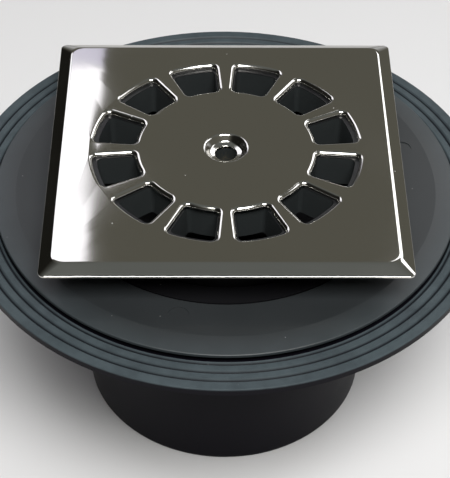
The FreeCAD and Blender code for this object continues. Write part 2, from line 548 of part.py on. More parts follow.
def make_grate_plate():
    """Pressed sheet: a flat with four bent-down edges, lipped slots and a central dimple."""
    body = new_body("grate_plate")
    edge = new_sketch(body, "plate_edge", "XY_Plane", "bevel_under")
    draw_rounded_square(edge, "plate_side", "plate_corner")
    pad(body, edge, "plate_rim", "bevel_top - bevel_under")
    outline = new_sketch(body, "bevel_outline", "XY_Plane", "bevel_top")
    draw_rounded_square(outline, "plate_side", "plate_corner")
    flat = new_sketch(body, "flat_outline", "XY_Plane", "overall_height")
    draw_rounded_square(flat, "flat_side", "flat_corner")
    bevel = body.newObject("PartDesign::AdditiveLoft", "bevel")
    bevel.Profile = outline
    bevel.Sections = [flat]
    bevel.Ruled = True
    doc.recompute()
    low = new_sketch(body, "hollow_outline", "XY_Plane", "bevel_under")
    draw_rounded_square(low, "under_side", "plate_corner")
    high = new_sketch(body, "hollow_flat", "XY_Plane", "sheet_under")
    draw_rounded_square(high, "under_flat_side", "flat_corner")
    hollow = body.newObject("PartDesign::SubtractiveLoft", "hollow")
    hollow.Profile = low
    hollow.Sections = [high]
    hollow.Ruled = True
    doc.recompute()
    lip_sketch = new_sketch(body, "lip_outline", "XY_Plane", "lip_foot")
    draw_sector(lip_sketch, "slot_outer + lip_wall", "slot_inner - lip_wall", "lip_start", "lip_end",
                "slot_corner + lip_wall")
    lip = pad(body, lip_sketch, "lip", "lip_depth - sheet")
    repeat_round(body, lip, "lips", "slot_count")
    slot_sketch = new_sketch(body, "slot_outline", "XY_Plane", "overall_height")
    draw_sector(slot_sketch, "slot_outer", "slot_inner", "slot_start", "slot_end", "slot_corner")
    slot = pocket(body, slot_sketch, "slot", "lip_depth")
    repeat_round(body, slot, "slots", "slot_count")
    turn_outline(body, "dimple", (
        ("0", "dimple_floor - sheet"), ("dimple_back_foot", "dimple_floor - sheet"),
        ("dimple_back", "sheet_under"), ("dimple_radius", "overall_height"),
        ("0", "overall_height")))
    turn_outline(body, "dimple_face", (
        ("0", "dimple_floor"), ("dimple_hole", "dimple_floor"), ("dimple_bend", "dimple_seat"),
        ("dimple_radius", "overall_height"), ("0", "overall_height")), cut=True)
    hole = new_sketch(body, "hole_outline", "XY_Plane", "dimple_floor")
    draw_circle(hole, "dimple_hole")
    pocket(body, hole, "hole", "sheet")
    top = value("overall_height")
    slot_reach = value("slot_outer + lip_wall")
    round_edges(body, "rounded_slots", "lip_round",
                lambda edge: lies_at(edge, top) and 1 < distance_from_axis(edge) < slot_reach)
    round_edges(body, "rounded_bend", "bend_radius",
                lambda edge: lies_at(edge, top) and distance_from_axis(edge) > slot_reach)
    round_edges(body, "rounded_dimple", "dimple_round",
                lambda edge: lies_at(edge, top) and distance_from_axis(edge) < 1)
    return body


def make_grate_carrier():
    """Moulded disc under the plate: drafted cells under the slots, a dish and boss in the middle."""
    body = new_body("grate_carrier")
    turn_outline(body, "disc_and_cells", (
        ("0", "boss_foot"), ("boss_radius - boss_taper", "boss_foot"), ("boss_radius", "carrier_under"),
        ("cell_inner - cell_wall", "carrier_under"), ("cell_inner - cell_wall", "carrier_foot"),
        ("cell_outer + cell_wall", "carrier_foot"), ("cell_outer + cell_wall", "carrier_under"),
        ("carrier_radius", "carrier_under"), ("carrier_radius", "carrier_top"), ("0", "carrier_top")))
    rib_sketch = new_sketch(body, "hub_rib_outline", "XZ_Plane")
    draw_polygon(rib_sketch, (
        ("boss_radius - boss_taper", "carrier_under - hub_rib_depth"),
        ("rib_reach", "carrier_under - hub_rib_depth"),
        ("rib_reach", "carrier_under"), ("boss_radius - boss_taper", "carrier_under")))
    rib = body.newObject("PartDesign::Pad", "hub_rib_pad")
    rib.Profile = rib_sketch
    rib.Midplane = True
    rib.setExpression("Length", bound("hub_rib"))
    doc.recompute()
    repeat_round(body, rib, "hub_ribs", "hub_rib_count")
    cell_sketch = new_sketch(body, "cell_outline", "XY_Plane", "carrier_top")
    draw_sector(cell_sketch, "cell_outer", "cell_inner", "cell_start", "cell_end", "slot_corner")
    cell = pocket(body, cell_sketch, "cell", "cell_depth", draft="cell_draft")
    repeat_round(body, cell, "cells", "slot_count")
    turn_outline(body, "dish_and_well", (
        ("0", "boss_foot"), ("insert_radius", "boss_foot"), ("insert_radius", "insert_top"),
        ("well_radius", "insert_top"), ("well_radius", "dish_floor"),
        ("dimple_back_foot + seat_gap", "dish_floor"),
        ("dimple_back + seat_gap", "carrier_top"), ("0", "carrier_top")), cut=True)
    return body


def make_thread_insert():
    """Threaded metal bush in the carrier's boss, with a waist that keys it."""
    body = new_body("thread_insert")
    turn_outline(body, "bush", (
        ("insert_bore", "insert_foot"), ("insert_radius", "insert_foot"),
        ("insert_radius", "waist_foot"), ("insert_radius - insert_groove", "waist_foot + insert_groove"),
        ("insert_radius - insert_groove", "waist_top - insert_groove"), ("insert_radius", "waist_top"),
        ("insert_radius", "insert_top"), ("insert_bore", "insert_top")))
    return body


def make_riser():
    """Tube that slides in the collar, with a head that holds the carrier."""
    body = new_body("riser")
    turn_outline(body, "tube_and_head", (
        ("riser_bore", "riser_foot"), ("riser_radius - riser_taper", "riser_foot"),
        ("riser_radius", "riser_foot + riser_lead"), ("riser_radius", "cone_foot"),
        ("head_radius", "head_foot"), ("head_radius", "riser_top"), ("head_bore", "riser_top"),
        ("head_bore", "carrier_under"), ("riser_bore", "carrier_under")))
    return body


def make_swivel_collar():
    """Ring that turns in the clamp ring, grooved inside for the lip seal and outside for an O-ring."""
    body = new_body("swivel_collar")
    turn_outline(body, "collar", (
        ("collar_bore", "collar_foot"), ("collar_radius", "collar_foot"),
        ("collar_radius", "cord_height - o_ring_cord"),
        ("cord_place - o_ring_cord", "cord_height - o_ring_cord"),
        ("cord_place - o_ring_cord", "cord_height + o_ring_cord"),
        ("collar_radius", "cord_height + o_ring_cord"),
        ("collar_radius", "ring_ledge"), ("collar_rim", "ring_ledge"), ("collar_rim", "collar_top"),
        ("collar_bore + edge_break", "collar_top"), ("collar_bore", "collar_top - edge_break"),
        ("collar_bore", "seal_top"), ("seal_back", "seal_top"), ("seal_back", "seal_foot"),
        ("collar_bore", "seal_foot")))
    return body


def make_riser_seal():
    """Rubber seal in the collar, with two lips towards the riser."""
    body = new_body("riser_seal")
    turn_outline(body, "lips", (
        ("seal_back", "seal_foot"), ("seal_back", "seal_top"), ("seal_lip + seal_hollow", "seal_top"),
        ("seal_lip", "seal_top - seal_nose"), ("seal_lip + seal_hollow", "seal_top - seal_lip_height"),
        ("seal_lip + seal_hollow", "seal_foot + seal_lip_height"), ("seal_lip", "seal_foot + seal_nose"),
        ("seal_lip + seal_hollow", "seal_foot")))
    return body


def make_o_ring(label, place, cord, height):
    """A round rubber cord in a ring about the vertical axis."""
    ring = doc.addObject("Part::Torus", label)
    ring.Label = label
    ring.setExpression("Radius1", bound(place))
    ring.setExpression("Radius2", bound(cord))
    ring.setExpression(".Placement.Base.z", bound(height))
    return ring


def make_clamp_ring():
    """Ring that presses the membrane down, with a sloping outer band and a threaded neck."""
    body = new_body("clamp_ring")
    turn_outline(body, "ring_and_neck", (
        ("ring_bore", "neck_foot"), ("neck_radius", "neck_foot"), ("neck_radius", "ring_under"),
        ("relief_inner", "ring_under"), ("relief_inner", "edge_under"),
        ("ring_radius", "edge_under"), ("ring_radius", "edge_top"), ("band_inner", "ring_top"),
        ("ring_recess + edge_break", "ring_top"), ("ring_recess", "ring_top - edge_break"),
        ("ring_recess", "ring_ledge"), ("ring_bore", "ring_ledge")))
    mark_sketch = new_sketch(body, "mark_outline", "XY_Plane", "ring_top")
    turn = math.radians(value("mark_turn"))
    place = value("mark_place")
    middle = FreeCAD.Vector(place * math.cos(turn), place * math.sin(turn), 0)
    circle = mark_sketch.addGeometry(Part.Circle(middle, FreeCAD.Vector(0, 0, 1), value("mark_radius")), False)
    sizes = (("Radius", (circle,), "mark_radius", ""),
             ("DistanceX", (-1, 1, circle, 3), "mark_place", " * cos(dims.mark_turn * 1 deg)"),
             ("DistanceY", (-1, 1, circle, 3), "mark_place", " * sin(dims.mark_turn * 1 deg)"))
    starts = (value("mark_radius"), middle.x, middle.y)
    for (kind, ends, text, factor), start in zip(sizes, starts):
        number = mark_sketch.addConstraint(Sketcher.Constraint(kind, *ends, start))
        mark_sketch.setExpression(f"Constraints[{number}]", bound(text) + factor)
    mark = pocket(body, mark_sketch, "mark", "mark_depth")
    repeat_round(body, mark, "marks", "mark_count")
    brim = value("edge_top")
    brink = value("ring_radius")
    round_edges(body, "rounded_edge", "ring_round",
                lambda edge: lies_at(edge, brim) and edge.BoundBox.XMax > brink - 1e-3)
    return body


def make_flat_ring(label, inner, outer, foot, top):
    """A flat ring cut from rubber sheet."""
    body = new_body(label)
    turn_outline(body, label + "_section", ((inner, foot), (outer, foot), (outer, top), (inner, top)))
    return body


def ridge_corners():
    """The top of the flange from its edge inwards: ridges with V-shaped furrows between them."""
    corners = [("flange_radius", "ridge_top")]
    furrow = "flange_radius - furrow_margin"
    for _ in range(int(value("furrow_count"))):
        corners.append((furrow + " + furrow_half", "ridge_top"))
        corners.append((furrow, "furrow_floor"))
        corners.append((furrow + " - furrow_half", "ridge_top"))
        slope = furrow + " - furrow_half - ridge_run"
        furrow += " - furrow_pitch"
    corners.append((slope, "flange_top"))
    return corners


def make_waste_body():
    """One moulding: pot, shoulder, threaded mouth, ridged flange, gussets and outlet spigot."""
    body = new_body("waste_body")
    outside = [("0", "0"), ("base_radius", "0"), ("pot_top_radius", "shoulder_foot - shoulder"),
               ("mouth_radius", "shoulder_foot"), ("mouth_radius", "flange_under"),
               ("flange_radius", "flange_under")]
    turn_outline(body, "outside", outside + ridge_corners() + [("0", "flange_top")])
    spigot_sketch = new_sketch(body, "spigot_outline", "XZ_Plane")
    draw_circle(spigot_sketch, "outlet_radius", "0", "outlet_height")
    pad(body, spigot_sketch, "spigot", "outlet_reach", reverse=True)
    stop_sketch = new_sketch(body, "stop_outline", "XZ_Plane")
    draw_circle(stop_sketch, "stop_radius", "0", "outlet_height")
    pad(body, stop_sketch, "pipe_stop", "stop_face", reverse=True)
    gusset_sketch = new_sketch(body, "gusset_outline", "XZ_Plane")
    draw_polygon(gusset_sketch, (
        ("gusset_root", "flange_under - gusset_height"),
        ("mouth_radius", "flange_under - gusset_height"),
        ("mouth_radius + gusset_reach", "flange_under - gusset_tip"),
        ("mouth_radius + gusset_reach", "flange_under"), ("gusset_root", "flange_under")))
    gusset = body.newObject("PartDesign::Pad", "gusset")
    gusset.Profile = gusset_sketch
    gusset.Midplane = True
    gusset.setExpression("Length", bound("gusset_thick"))
    doc.recompute()
    repeat_round(body, gusset, "gussets", "gusset_count")
    turn_outline(body, "inside", (
        ("0", "pot_floor"), ("pot_foot_bore", "pot_floor"), ("ledge_bore", "ledge_height"),
        ("seat_pocket", "ledge_height"), ("pot_inner_top", "mouth_floor"),
        ("mouth_bore", "mouth_floor"), ("mouth_bore", "ridge_top"), ("0", "ridge_top")), cut=True)
    bore_sketch = new_sketch(body, "outlet_outline", "XZ_Plane")
    draw_circle(bore_sketch, "outlet_bore", "0", "outlet_height")
    pocket(body, bore_sketch, "outlet", "outlet_reach")
    reach = value("outlet_reach")
    rim = value("outlet_radius")
    chamfer_base = body.Tip
    ends = [f"Edge{index}" for index, edge in enumerate(chamfer_base.Shape.Edges, start=1)
            if abs(edge.BoundBox.YMin - reach) < 1e-4 and edge.BoundBox.XMax > rim - 1e-3]
    chamfer = body.newObject("PartDesign::Chamfer", "spigot_chamfer")
    chamfer.Base = (chamfer_base, ends)
    chamfer.setExpression("Size", bound("outlet_chamfer"))
    doc.recompute()
    base = value("base_radius")
    round_edges(body, "rounded_foot", "base_round",
                lambda edge: lies_at(edge, 0) and edge.BoundBox.XMax > base - 1e-3)
    crest = value("ridge_top")
    brink = value("flange_radius")
    round_edges(body, "rounded_flange", "flange_round",
                lambda edge: lies_at(edge, crest) and edge.BoundBox.XMax > brink - 1e-3)
    return body


def make_trap_seat():
    """Ring on the pot's ledge with a recess for the trap."""
    body = new_body("trap_seat")
    turn_outline(body, "seat", (
        ("seat_bore", "ledge_height"), ("seat_radius", "ledge_height"), ("seat_radius", "seat_top"),
        ("seat_recess + edge_break", "seat_top"), ("seat_recess", "seat_top - edge_break"),
        ("seat_recess", "disc_under"), ("seat_bore", "disc_under")))
    return body


def make_trap_funnel():
    """Disc with a rounded inlet into a dip tube, a groove in its edge and a bail to lift it by."""
    body = new_body("trap_funnel")
    turn_outline(body, "disc_and_tube", (
        ("dip_bore", "dip_foot"), ("dip_radius", "dip_foot"), ("dip_radius", "disc_under"),
        ("disc_radius", "disc_under"), ("disc_radius", "disc_under + groove_rise"),
        ("disc_radius - groove_depth", "disc_under + groove_rise"),
        ("disc_radius - groove_depth", "disc_under + groove_rise + groove_height"),
        ("disc_radius", "disc_under + groove_rise + groove_height"),
        ("disc_radius", "disc_top"), ("dip_bore", "disc_top")))
    top = value("disc_top")
    tube = value("dip_radius")
    round_edges(body, "rounded_mouth", "dip_round",
                lambda edge: lies_at(edge, top) and edge.BoundBox.XMax < tube)
    path = new_sketch(body, "bail_path", "XZ_Plane")
    draw_bail(path, "bail_span", "bail_bend", "bail_foot", "bail_top")
    section = new_sketch(body, "bail_section", "XY_Plane", "bail_foot")
    draw_circle(section, "bail_radius", "- bail_span", "0")
    bail = body.newObject("PartDesign::AdditivePipe", "bail")
    bail.Profile = section
    bail.Spine = (path, [f"Edge{index}" for index in range(1, 6)])
    doc.recompute()
    return body


def make_trap_cup():
    """Cup that keeps the water round the dip tube, hung from the disc by posts."""
    body = new_body("trap_cup")
    turn_outline(body, "cup", (
        ("0", "cup_foot"), ("cup_radius - cup_chamfer", "cup_foot"),
        ("cup_radius", "cup_foot + cup_chamfer"), ("cup_radius", "cup_rim"), ("cup_bore", "cup_rim"),
        ("cup_bore", "cup_floor + cup_chamfer"), ("cup_bore - cup_chamfer", "cup_floor"),
        ("0", "cup_floor")))
    post_sketch = new_sketch(body, "post_outline", "XZ_Plane")
    draw_polygon(post_sketch, (
        ("cup_bore", "cup_rim - cup_post_root"), ("cup_radius", "cup_rim - cup_post_root"),
        ("cup_radius", "disc_under"), ("cup_bore", "disc_under")))
    post = body.newObject("PartDesign::Pad", "post")
    post.Profile = post_sketch
    post.Midplane = True
    post.setExpression("Length", bound("cup_post_width"))
    doc.recompute()
    repeat_round(body, post, "posts", "cup_post_count")
    return body


def check_document():
    """Stop if any feature failed to rebuild."""
    for item in doc.Objects:
        if "Invalid" in item.State or "Error" in item.State:
            raise RuntimeError(f"{item.Name} failed: {item.State}")


def export(pieces):
    """Write one STEP file for each piece, under its label."""
    os.makedirs("parts", exist_ok=True)
    for piece in pieces:
        shape = piece.Shape
        if shape.isNull() or not shape.isValid():
            raise RuntimeError(f"{piece.Label} has no valid shape")
        shape.exportStep(f"parts/{piece.Label}.step")
        print(piece.Label, len(shape.Solids), round(shape.Volume / 1000, 2), "cm3",
              [round(size, 2) for size in (shape.BoundBox.XMax, shape.BoundBox.YMax,
                                           shape.BoundBox.ZMin, shape.BoundBox.ZMax)])


fill_sheet()
pieces = [
    make_grate_plate(),
    make_grate_carrier(),
    make_thread_insert(),
    make_riser(),
    make_swivel_collar(),
    make_riser_seal(),
    make_o_ring("collar_o_ring", "cord_place", "o_ring_cord", "cord_height"),
    make_clamp_ring(),
    make_flat_ring("membrane_gasket", "gasket_inner", "relief_inner", "flange_top", "ring_under"),
    make_flat_ring("neck_gasket", "neck_gasket_outer - neck_gasket_width", "neck_gasket_outer",
                   "mouth_floor", "neck_foot"),
    make_waste_body(),
    make_trap_seat(),
    make_trap_funnel(),
    make_o_ring("trap_o_ring", "disc_radius - groove_depth + disc_ring_cord", "disc_ring_cord",
                "disc_ring_height"),
    make_trap_cup(),
]
doc.recompute()
check_document()
export(pieces)
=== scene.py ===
"""Shower tray waste: its finishes, its pressed steel grate, the stage and the camera."""

import math

import bmesh
import bpy
from mathutils import Euler, Matrix, Vector


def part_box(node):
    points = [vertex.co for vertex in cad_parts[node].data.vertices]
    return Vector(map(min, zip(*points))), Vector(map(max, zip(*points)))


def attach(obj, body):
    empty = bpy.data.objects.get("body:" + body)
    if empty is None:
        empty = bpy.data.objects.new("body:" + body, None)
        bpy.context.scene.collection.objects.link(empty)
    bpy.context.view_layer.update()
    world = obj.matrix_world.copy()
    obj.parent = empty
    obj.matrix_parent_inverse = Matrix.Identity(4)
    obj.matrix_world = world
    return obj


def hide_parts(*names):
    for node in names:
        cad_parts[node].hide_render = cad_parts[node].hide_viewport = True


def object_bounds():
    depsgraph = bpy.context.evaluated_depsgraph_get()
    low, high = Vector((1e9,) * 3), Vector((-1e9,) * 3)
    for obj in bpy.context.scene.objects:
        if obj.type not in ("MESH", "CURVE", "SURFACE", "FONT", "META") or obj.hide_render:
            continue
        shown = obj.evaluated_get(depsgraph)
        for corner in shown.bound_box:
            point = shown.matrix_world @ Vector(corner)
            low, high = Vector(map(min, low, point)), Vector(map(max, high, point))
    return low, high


bl_info = {
    "name": "Shower Tray Waste",
    "version": (1, 0, 0),
    "blender": (4, 5, 0),
    "location": "View3D > Sidebar > Shower Waste",
    "description": "Dresses a shower tray waste with a slotted steel grate and sets its stage",
    "category": "Object",
}

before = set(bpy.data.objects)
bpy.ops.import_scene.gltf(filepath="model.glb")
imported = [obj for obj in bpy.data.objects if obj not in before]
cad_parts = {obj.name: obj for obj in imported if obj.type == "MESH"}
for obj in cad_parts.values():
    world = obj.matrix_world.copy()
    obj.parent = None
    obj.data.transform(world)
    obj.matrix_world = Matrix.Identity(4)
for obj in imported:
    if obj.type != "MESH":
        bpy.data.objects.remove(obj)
CAD_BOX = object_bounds()
PLATE_LOW, PLATE_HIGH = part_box("grate_plate")
BUSH_LOW, BUSH_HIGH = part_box("thread_insert")
BODY_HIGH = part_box("waste_body")[1]
CARRIER_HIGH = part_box("grate_carrier")[1]
MM = 0.001
DUST_COLOUR = (0.30, 0.30, 0.29)


# Properties

class GrateSizes(bpy.types.PropertyGroup):
    """Sizes of the pressed grate plate."""

    side: bpy.props.FloatProperty(
        name="Side", description="Side of the square plate",
        default=PLATE_HIGH.x - PLATE_LOW.x, unit="LENGTH", precision=5)
    corner: bpy.props.FloatProperty(
        name="Corner", description="Radius of the plate's outer corners",
        default=2.6 * MM, unit="LENGTH", precision=5)
    flat_corner: bpy.props.FloatProperty(
        name="Flat Corner", description="Radius of the corners of the flat, at the bend",
        default=5.0 * MM, unit="LENGTH", precision=5)
    sheet: bpy.props.FloatProperty(
        name="Sheet", description="Thickness of the steel sheet",
        default=1.2 * MM, unit="LENGTH", precision=5)
    bevel_width: bpy.props.FloatProperty(
        name="Edge Width", description="Width of the bent-down edge, seen from above",
        default=5.3 * MM, unit="LENGTH", precision=5)
    bevel_drop: bpy.props.FloatProperty(
        name="Edge Drop", description="How far the bent-down edge falls",
        default=2.7 * MM, unit="LENGTH", precision=5)
    bend: bpy.props.FloatProperty(
        name="Bend", description="Radius along the bend of the edge",
        default=3.0 * MM, unit="LENGTH", precision=5)
    soft_edge: bpy.props.FloatProperty(
        name="Soft Edge", description="Radius on the sheet's cut edges",
        default=0.3 * MM, unit="LENGTH", precision=5)
    edge_round: bpy.props.FloatProperty(
        name="Edge Round", description="Radius at the foot of the bent-down edge",
        default=0.45 * MM, unit="LENGTH", precision=5)
    slot_count: bpy.props.IntProperty(
        name="Slots", description="Slots round the plate's middle", default=12, min=3, max=36)
    slot_outer: bpy.props.FloatProperty(
        name="Slot Outer Radius", description="Outer radius of the ring of slots",
        default=56.9 * MM, unit="LENGTH", precision=5)
    slot_inner: bpy.props.FloatProperty(
        name="Slot Inner Radius", description="Inner radius of the ring of slots",
        default=38.9 * MM, unit="LENGTH", precision=5)
    slot_half_angle: bpy.props.FloatProperty(
        name="Slot Half Angle", description="Half of the angle that one slot takes",
        default=math.radians(10.4), subtype="ANGLE")
    slot_corner: bpy.props.FloatProperty(
        name="Slot Corner", description="Radius of a slot's corners",
        default=2.1 * MM, unit="LENGTH", precision=5)
    lip_depth: bpy.props.FloatProperty(
        name="Lip Depth", description="Depth of the turned-down lip round each slot",
        default=2.3 * MM, unit="LENGTH", precision=5)
    lip_wall: bpy.props.FloatProperty(
        name="Lip Wall", description="Wall of the lip round each slot",
        default=1.0 * MM, unit="LENGTH", precision=5)
    lip_round: bpy.props.FloatProperty(
        name="Lip Round", description="Radius on the top edge of each slot",
        default=1.9 * MM, unit="LENGTH", precision=5)
    dimple: bpy.props.FloatProperty(
        name="Dimple Radius", description="Radius of the central dimple at the top",
        default=9.0 * MM, unit="LENGTH", precision=5)
    dimple_hole: bpy.props.FloatProperty(
        name="Dimple Hole", description="Radius of the hole in the dimple",
        default=4.7 * MM, unit="LENGTH", precision=5)
    dimple_depth: bpy.props.FloatProperty(
        name="Dimple Depth", description="Depth of the dimple at its hole",
        default=3.2 * MM, unit="LENGTH", precision=5)
    dimple_bend: bpy.props.FloatProperty(
        name="Dimple Bend", description="Radius where the dimple's steep side meets its seat",
        default=6.9 * MM, unit="LENGTH", precision=5)
    dimple_side: bpy.props.FloatProperty(
        name="Dimple Side", description="Depth of the dimple's steep side",
        default=2.7 * MM, unit="LENGTH", precision=5)
    dimple_round: bpy.props.FloatProperty(
        name="Dimple Round", description="Radius on the dimple's edge and at its foot",
        default=1.5 * MM, unit="LENGTH", precision=5)


class BushSizes(bpy.types.PropertyGroup):
    """Sizes of the threaded bush under the dimple."""

    radius: bpy.props.FloatProperty(
        name="Radius", description="Outer radius of the bush",
        default=BUSH_HIGH.x, unit="LENGTH", precision=5)
    bore: bpy.props.FloatProperty(
        name="Bore", description="Radius at the crests of the thread",
        default=2.1 * MM, unit="LENGTH", precision=5)
    thread_depth: bpy.props.FloatProperty(
        name="Thread Depth", description="Depth of the thread",
        default=0.4 * MM, unit="LENGTH", precision=5)
    pitch: bpy.props.FloatProperty(
        name="Pitch", description="Pitch of the thread",
        default=0.8 * MM, unit="LENGTH", precision=5)
    waist: bpy.props.FloatProperty(
        name="Waist", description="Depth of the waist that keys the bush",
        default=0.5 * MM, unit="LENGTH", precision=5)
    knurl: bpy.props.FloatProperty(
        name="Knurl", description="Depth of the knurl on the bush",
        default=0.15 * MM, unit="LENGTH", precision=5)
    chamfer: bpy.props.FloatProperty(
        name="Chamfer", description="Width and depth of the chamfer at both ends",
        default=0.3 * MM, unit="LENGTH", precision=5)
    waist_start: bpy.props.FloatProperty(
        name="Waist Start", description="Share of the bush's height on each side of the waist",
        default=0.375, subtype="FACTOR", min=0.1, max=0.45)


class Finishes(bpy.types.PropertyGroup):
    """Colours of the pieces."""

    steel: bpy.props.FloatVectorProperty(
        name="Steel", description="Reflected colour of the polished steel",
        default=(0.62, 0.61, 0.58), subtype="COLOR", min=0, max=1)
    carrier: bpy.props.FloatVectorProperty(
        name="Carrier Plastic", description="Carrier under the grate",
        default=(0.026, 0.030, 0.031), subtype="COLOR", min=0, max=1)
    # black is also the painted shade on the carrier's top face.
    black: bpy.props.FloatVectorProperty(
        name="Black Plastic", description="Riser and collar",
        default=(0.006, 0.006, 0.007), subtype="COLOR", min=0, max=1)
    ring: bpy.props.FloatVectorProperty(
        name="Grey Plastic", description="Clamp ring",
        default=(0.020, 0.023, 0.025), subtype="COLOR", min=0, max=1)
    body: bpy.props.FloatVectorProperty(
        name="Dark Grey Plastic", description="Waste body",
        default=(0.004, 0.0036, 0.006), subtype="COLOR", min=0, max=1)
    # Painted sheen on the clamp ring's outer band, and painted sheen with some dust on the
    # flange's crests.
    worn: bpy.props.FloatVectorProperty(
        name="Sheen And Dust Grey", description="Painted sheen on the ring's outer band, painted sheen and dust on the flange's crests",
        default=(0.060, 0.077, 0.086), subtype="COLOR", min=0, max=1)
    trap: bpy.props.FloatVectorProperty(
        name="Trap Plastic", description="Trap and its seat ring",
        default=(0.03, 0.03, 0.034), subtype="COLOR", min=0, max=1)
    rubber: bpy.props.FloatVectorProperty(
        name="Rubber", description="Seals and gaskets",
        default=(0.02, 0.02, 0.02), subtype="COLOR", min=0, max=1)
    brass: bpy.props.FloatVectorProperty(
        name="Brass", description="Threaded bush",
        default=(0.60, 0.45, 0.20), subtype="COLOR", min=0, max=1)


class ToneBands(bpy.types.PropertyGroup):
    """Where the mouldings get painted shade and painted sheen."""

    crest: bpy.props.FloatProperty(
        name="Crest", description="How far below its top a moulding's tone is changed in full",
        default=0.1 * MM, unit="LENGTH", precision=5)
    # carrier_fade and carrier_end place the painted shade on the carrier's top face.
    carrier_fade: bpy.props.FloatProperty(
        name="Carrier Fade", description="Height over which the carrier darkens to its top face",
        default=0.4 * MM, unit="LENGTH", precision=5)
    carrier_end: bpy.props.FloatProperty(
        name="Carrier End", description="Radius from which the carrier's top is dark",
        default=1.0 * MM, unit="LENGTH", precision=5)
    # ring_level to ring_end place the painted sheen on the clamp ring.
    ring_level: bpy.props.FloatProperty(
        name="Ring Level", description="Height from which the clamp ring's painted sheen is full",
        default=110.0 * MM, unit="LENGTH", precision=5)
    ring_fade: bpy.props.FloatProperty(
        name="Ring Fade", description="Height over which the ring's painted sheen fades",
        default=4.0 * MM, unit="LENGTH", precision=5)
    ring_start: bpy.props.FloatProperty(
        name="Ring Start", description="Radius where the ring's painted sheen begins",
        default=89.5 * MM, unit="LENGTH", precision=5)
    ring_end: bpy.props.FloatProperty(
        name="Ring End", description="Radius where the ring's painted sheen would be full",
        default=118.0 * MM, unit="LENGTH", precision=5)
    # flange_fade to flange_end place the painted sheen, partly dust, on the flange's crests.
    flange_fade: bpy.props.FloatProperty(
        name="Flange Fade", description="Height over which the painted sheen and dust on the flange's ridges fade",
        default=0.9 * MM, unit="LENGTH", precision=5)
    flange_start: bpy.props.FloatProperty(
        name="Flange Start", description="Radius where the flange's painted sheen and dust begin",
        default=98.5 * MM, unit="LENGTH", precision=5)
    flange_end: bpy.props.FloatProperty(
        name="Flange End", description="Radius where the flange's painted sheen and dust are full",
        default=100.5 * MM, unit="LENGTH", precision=5)


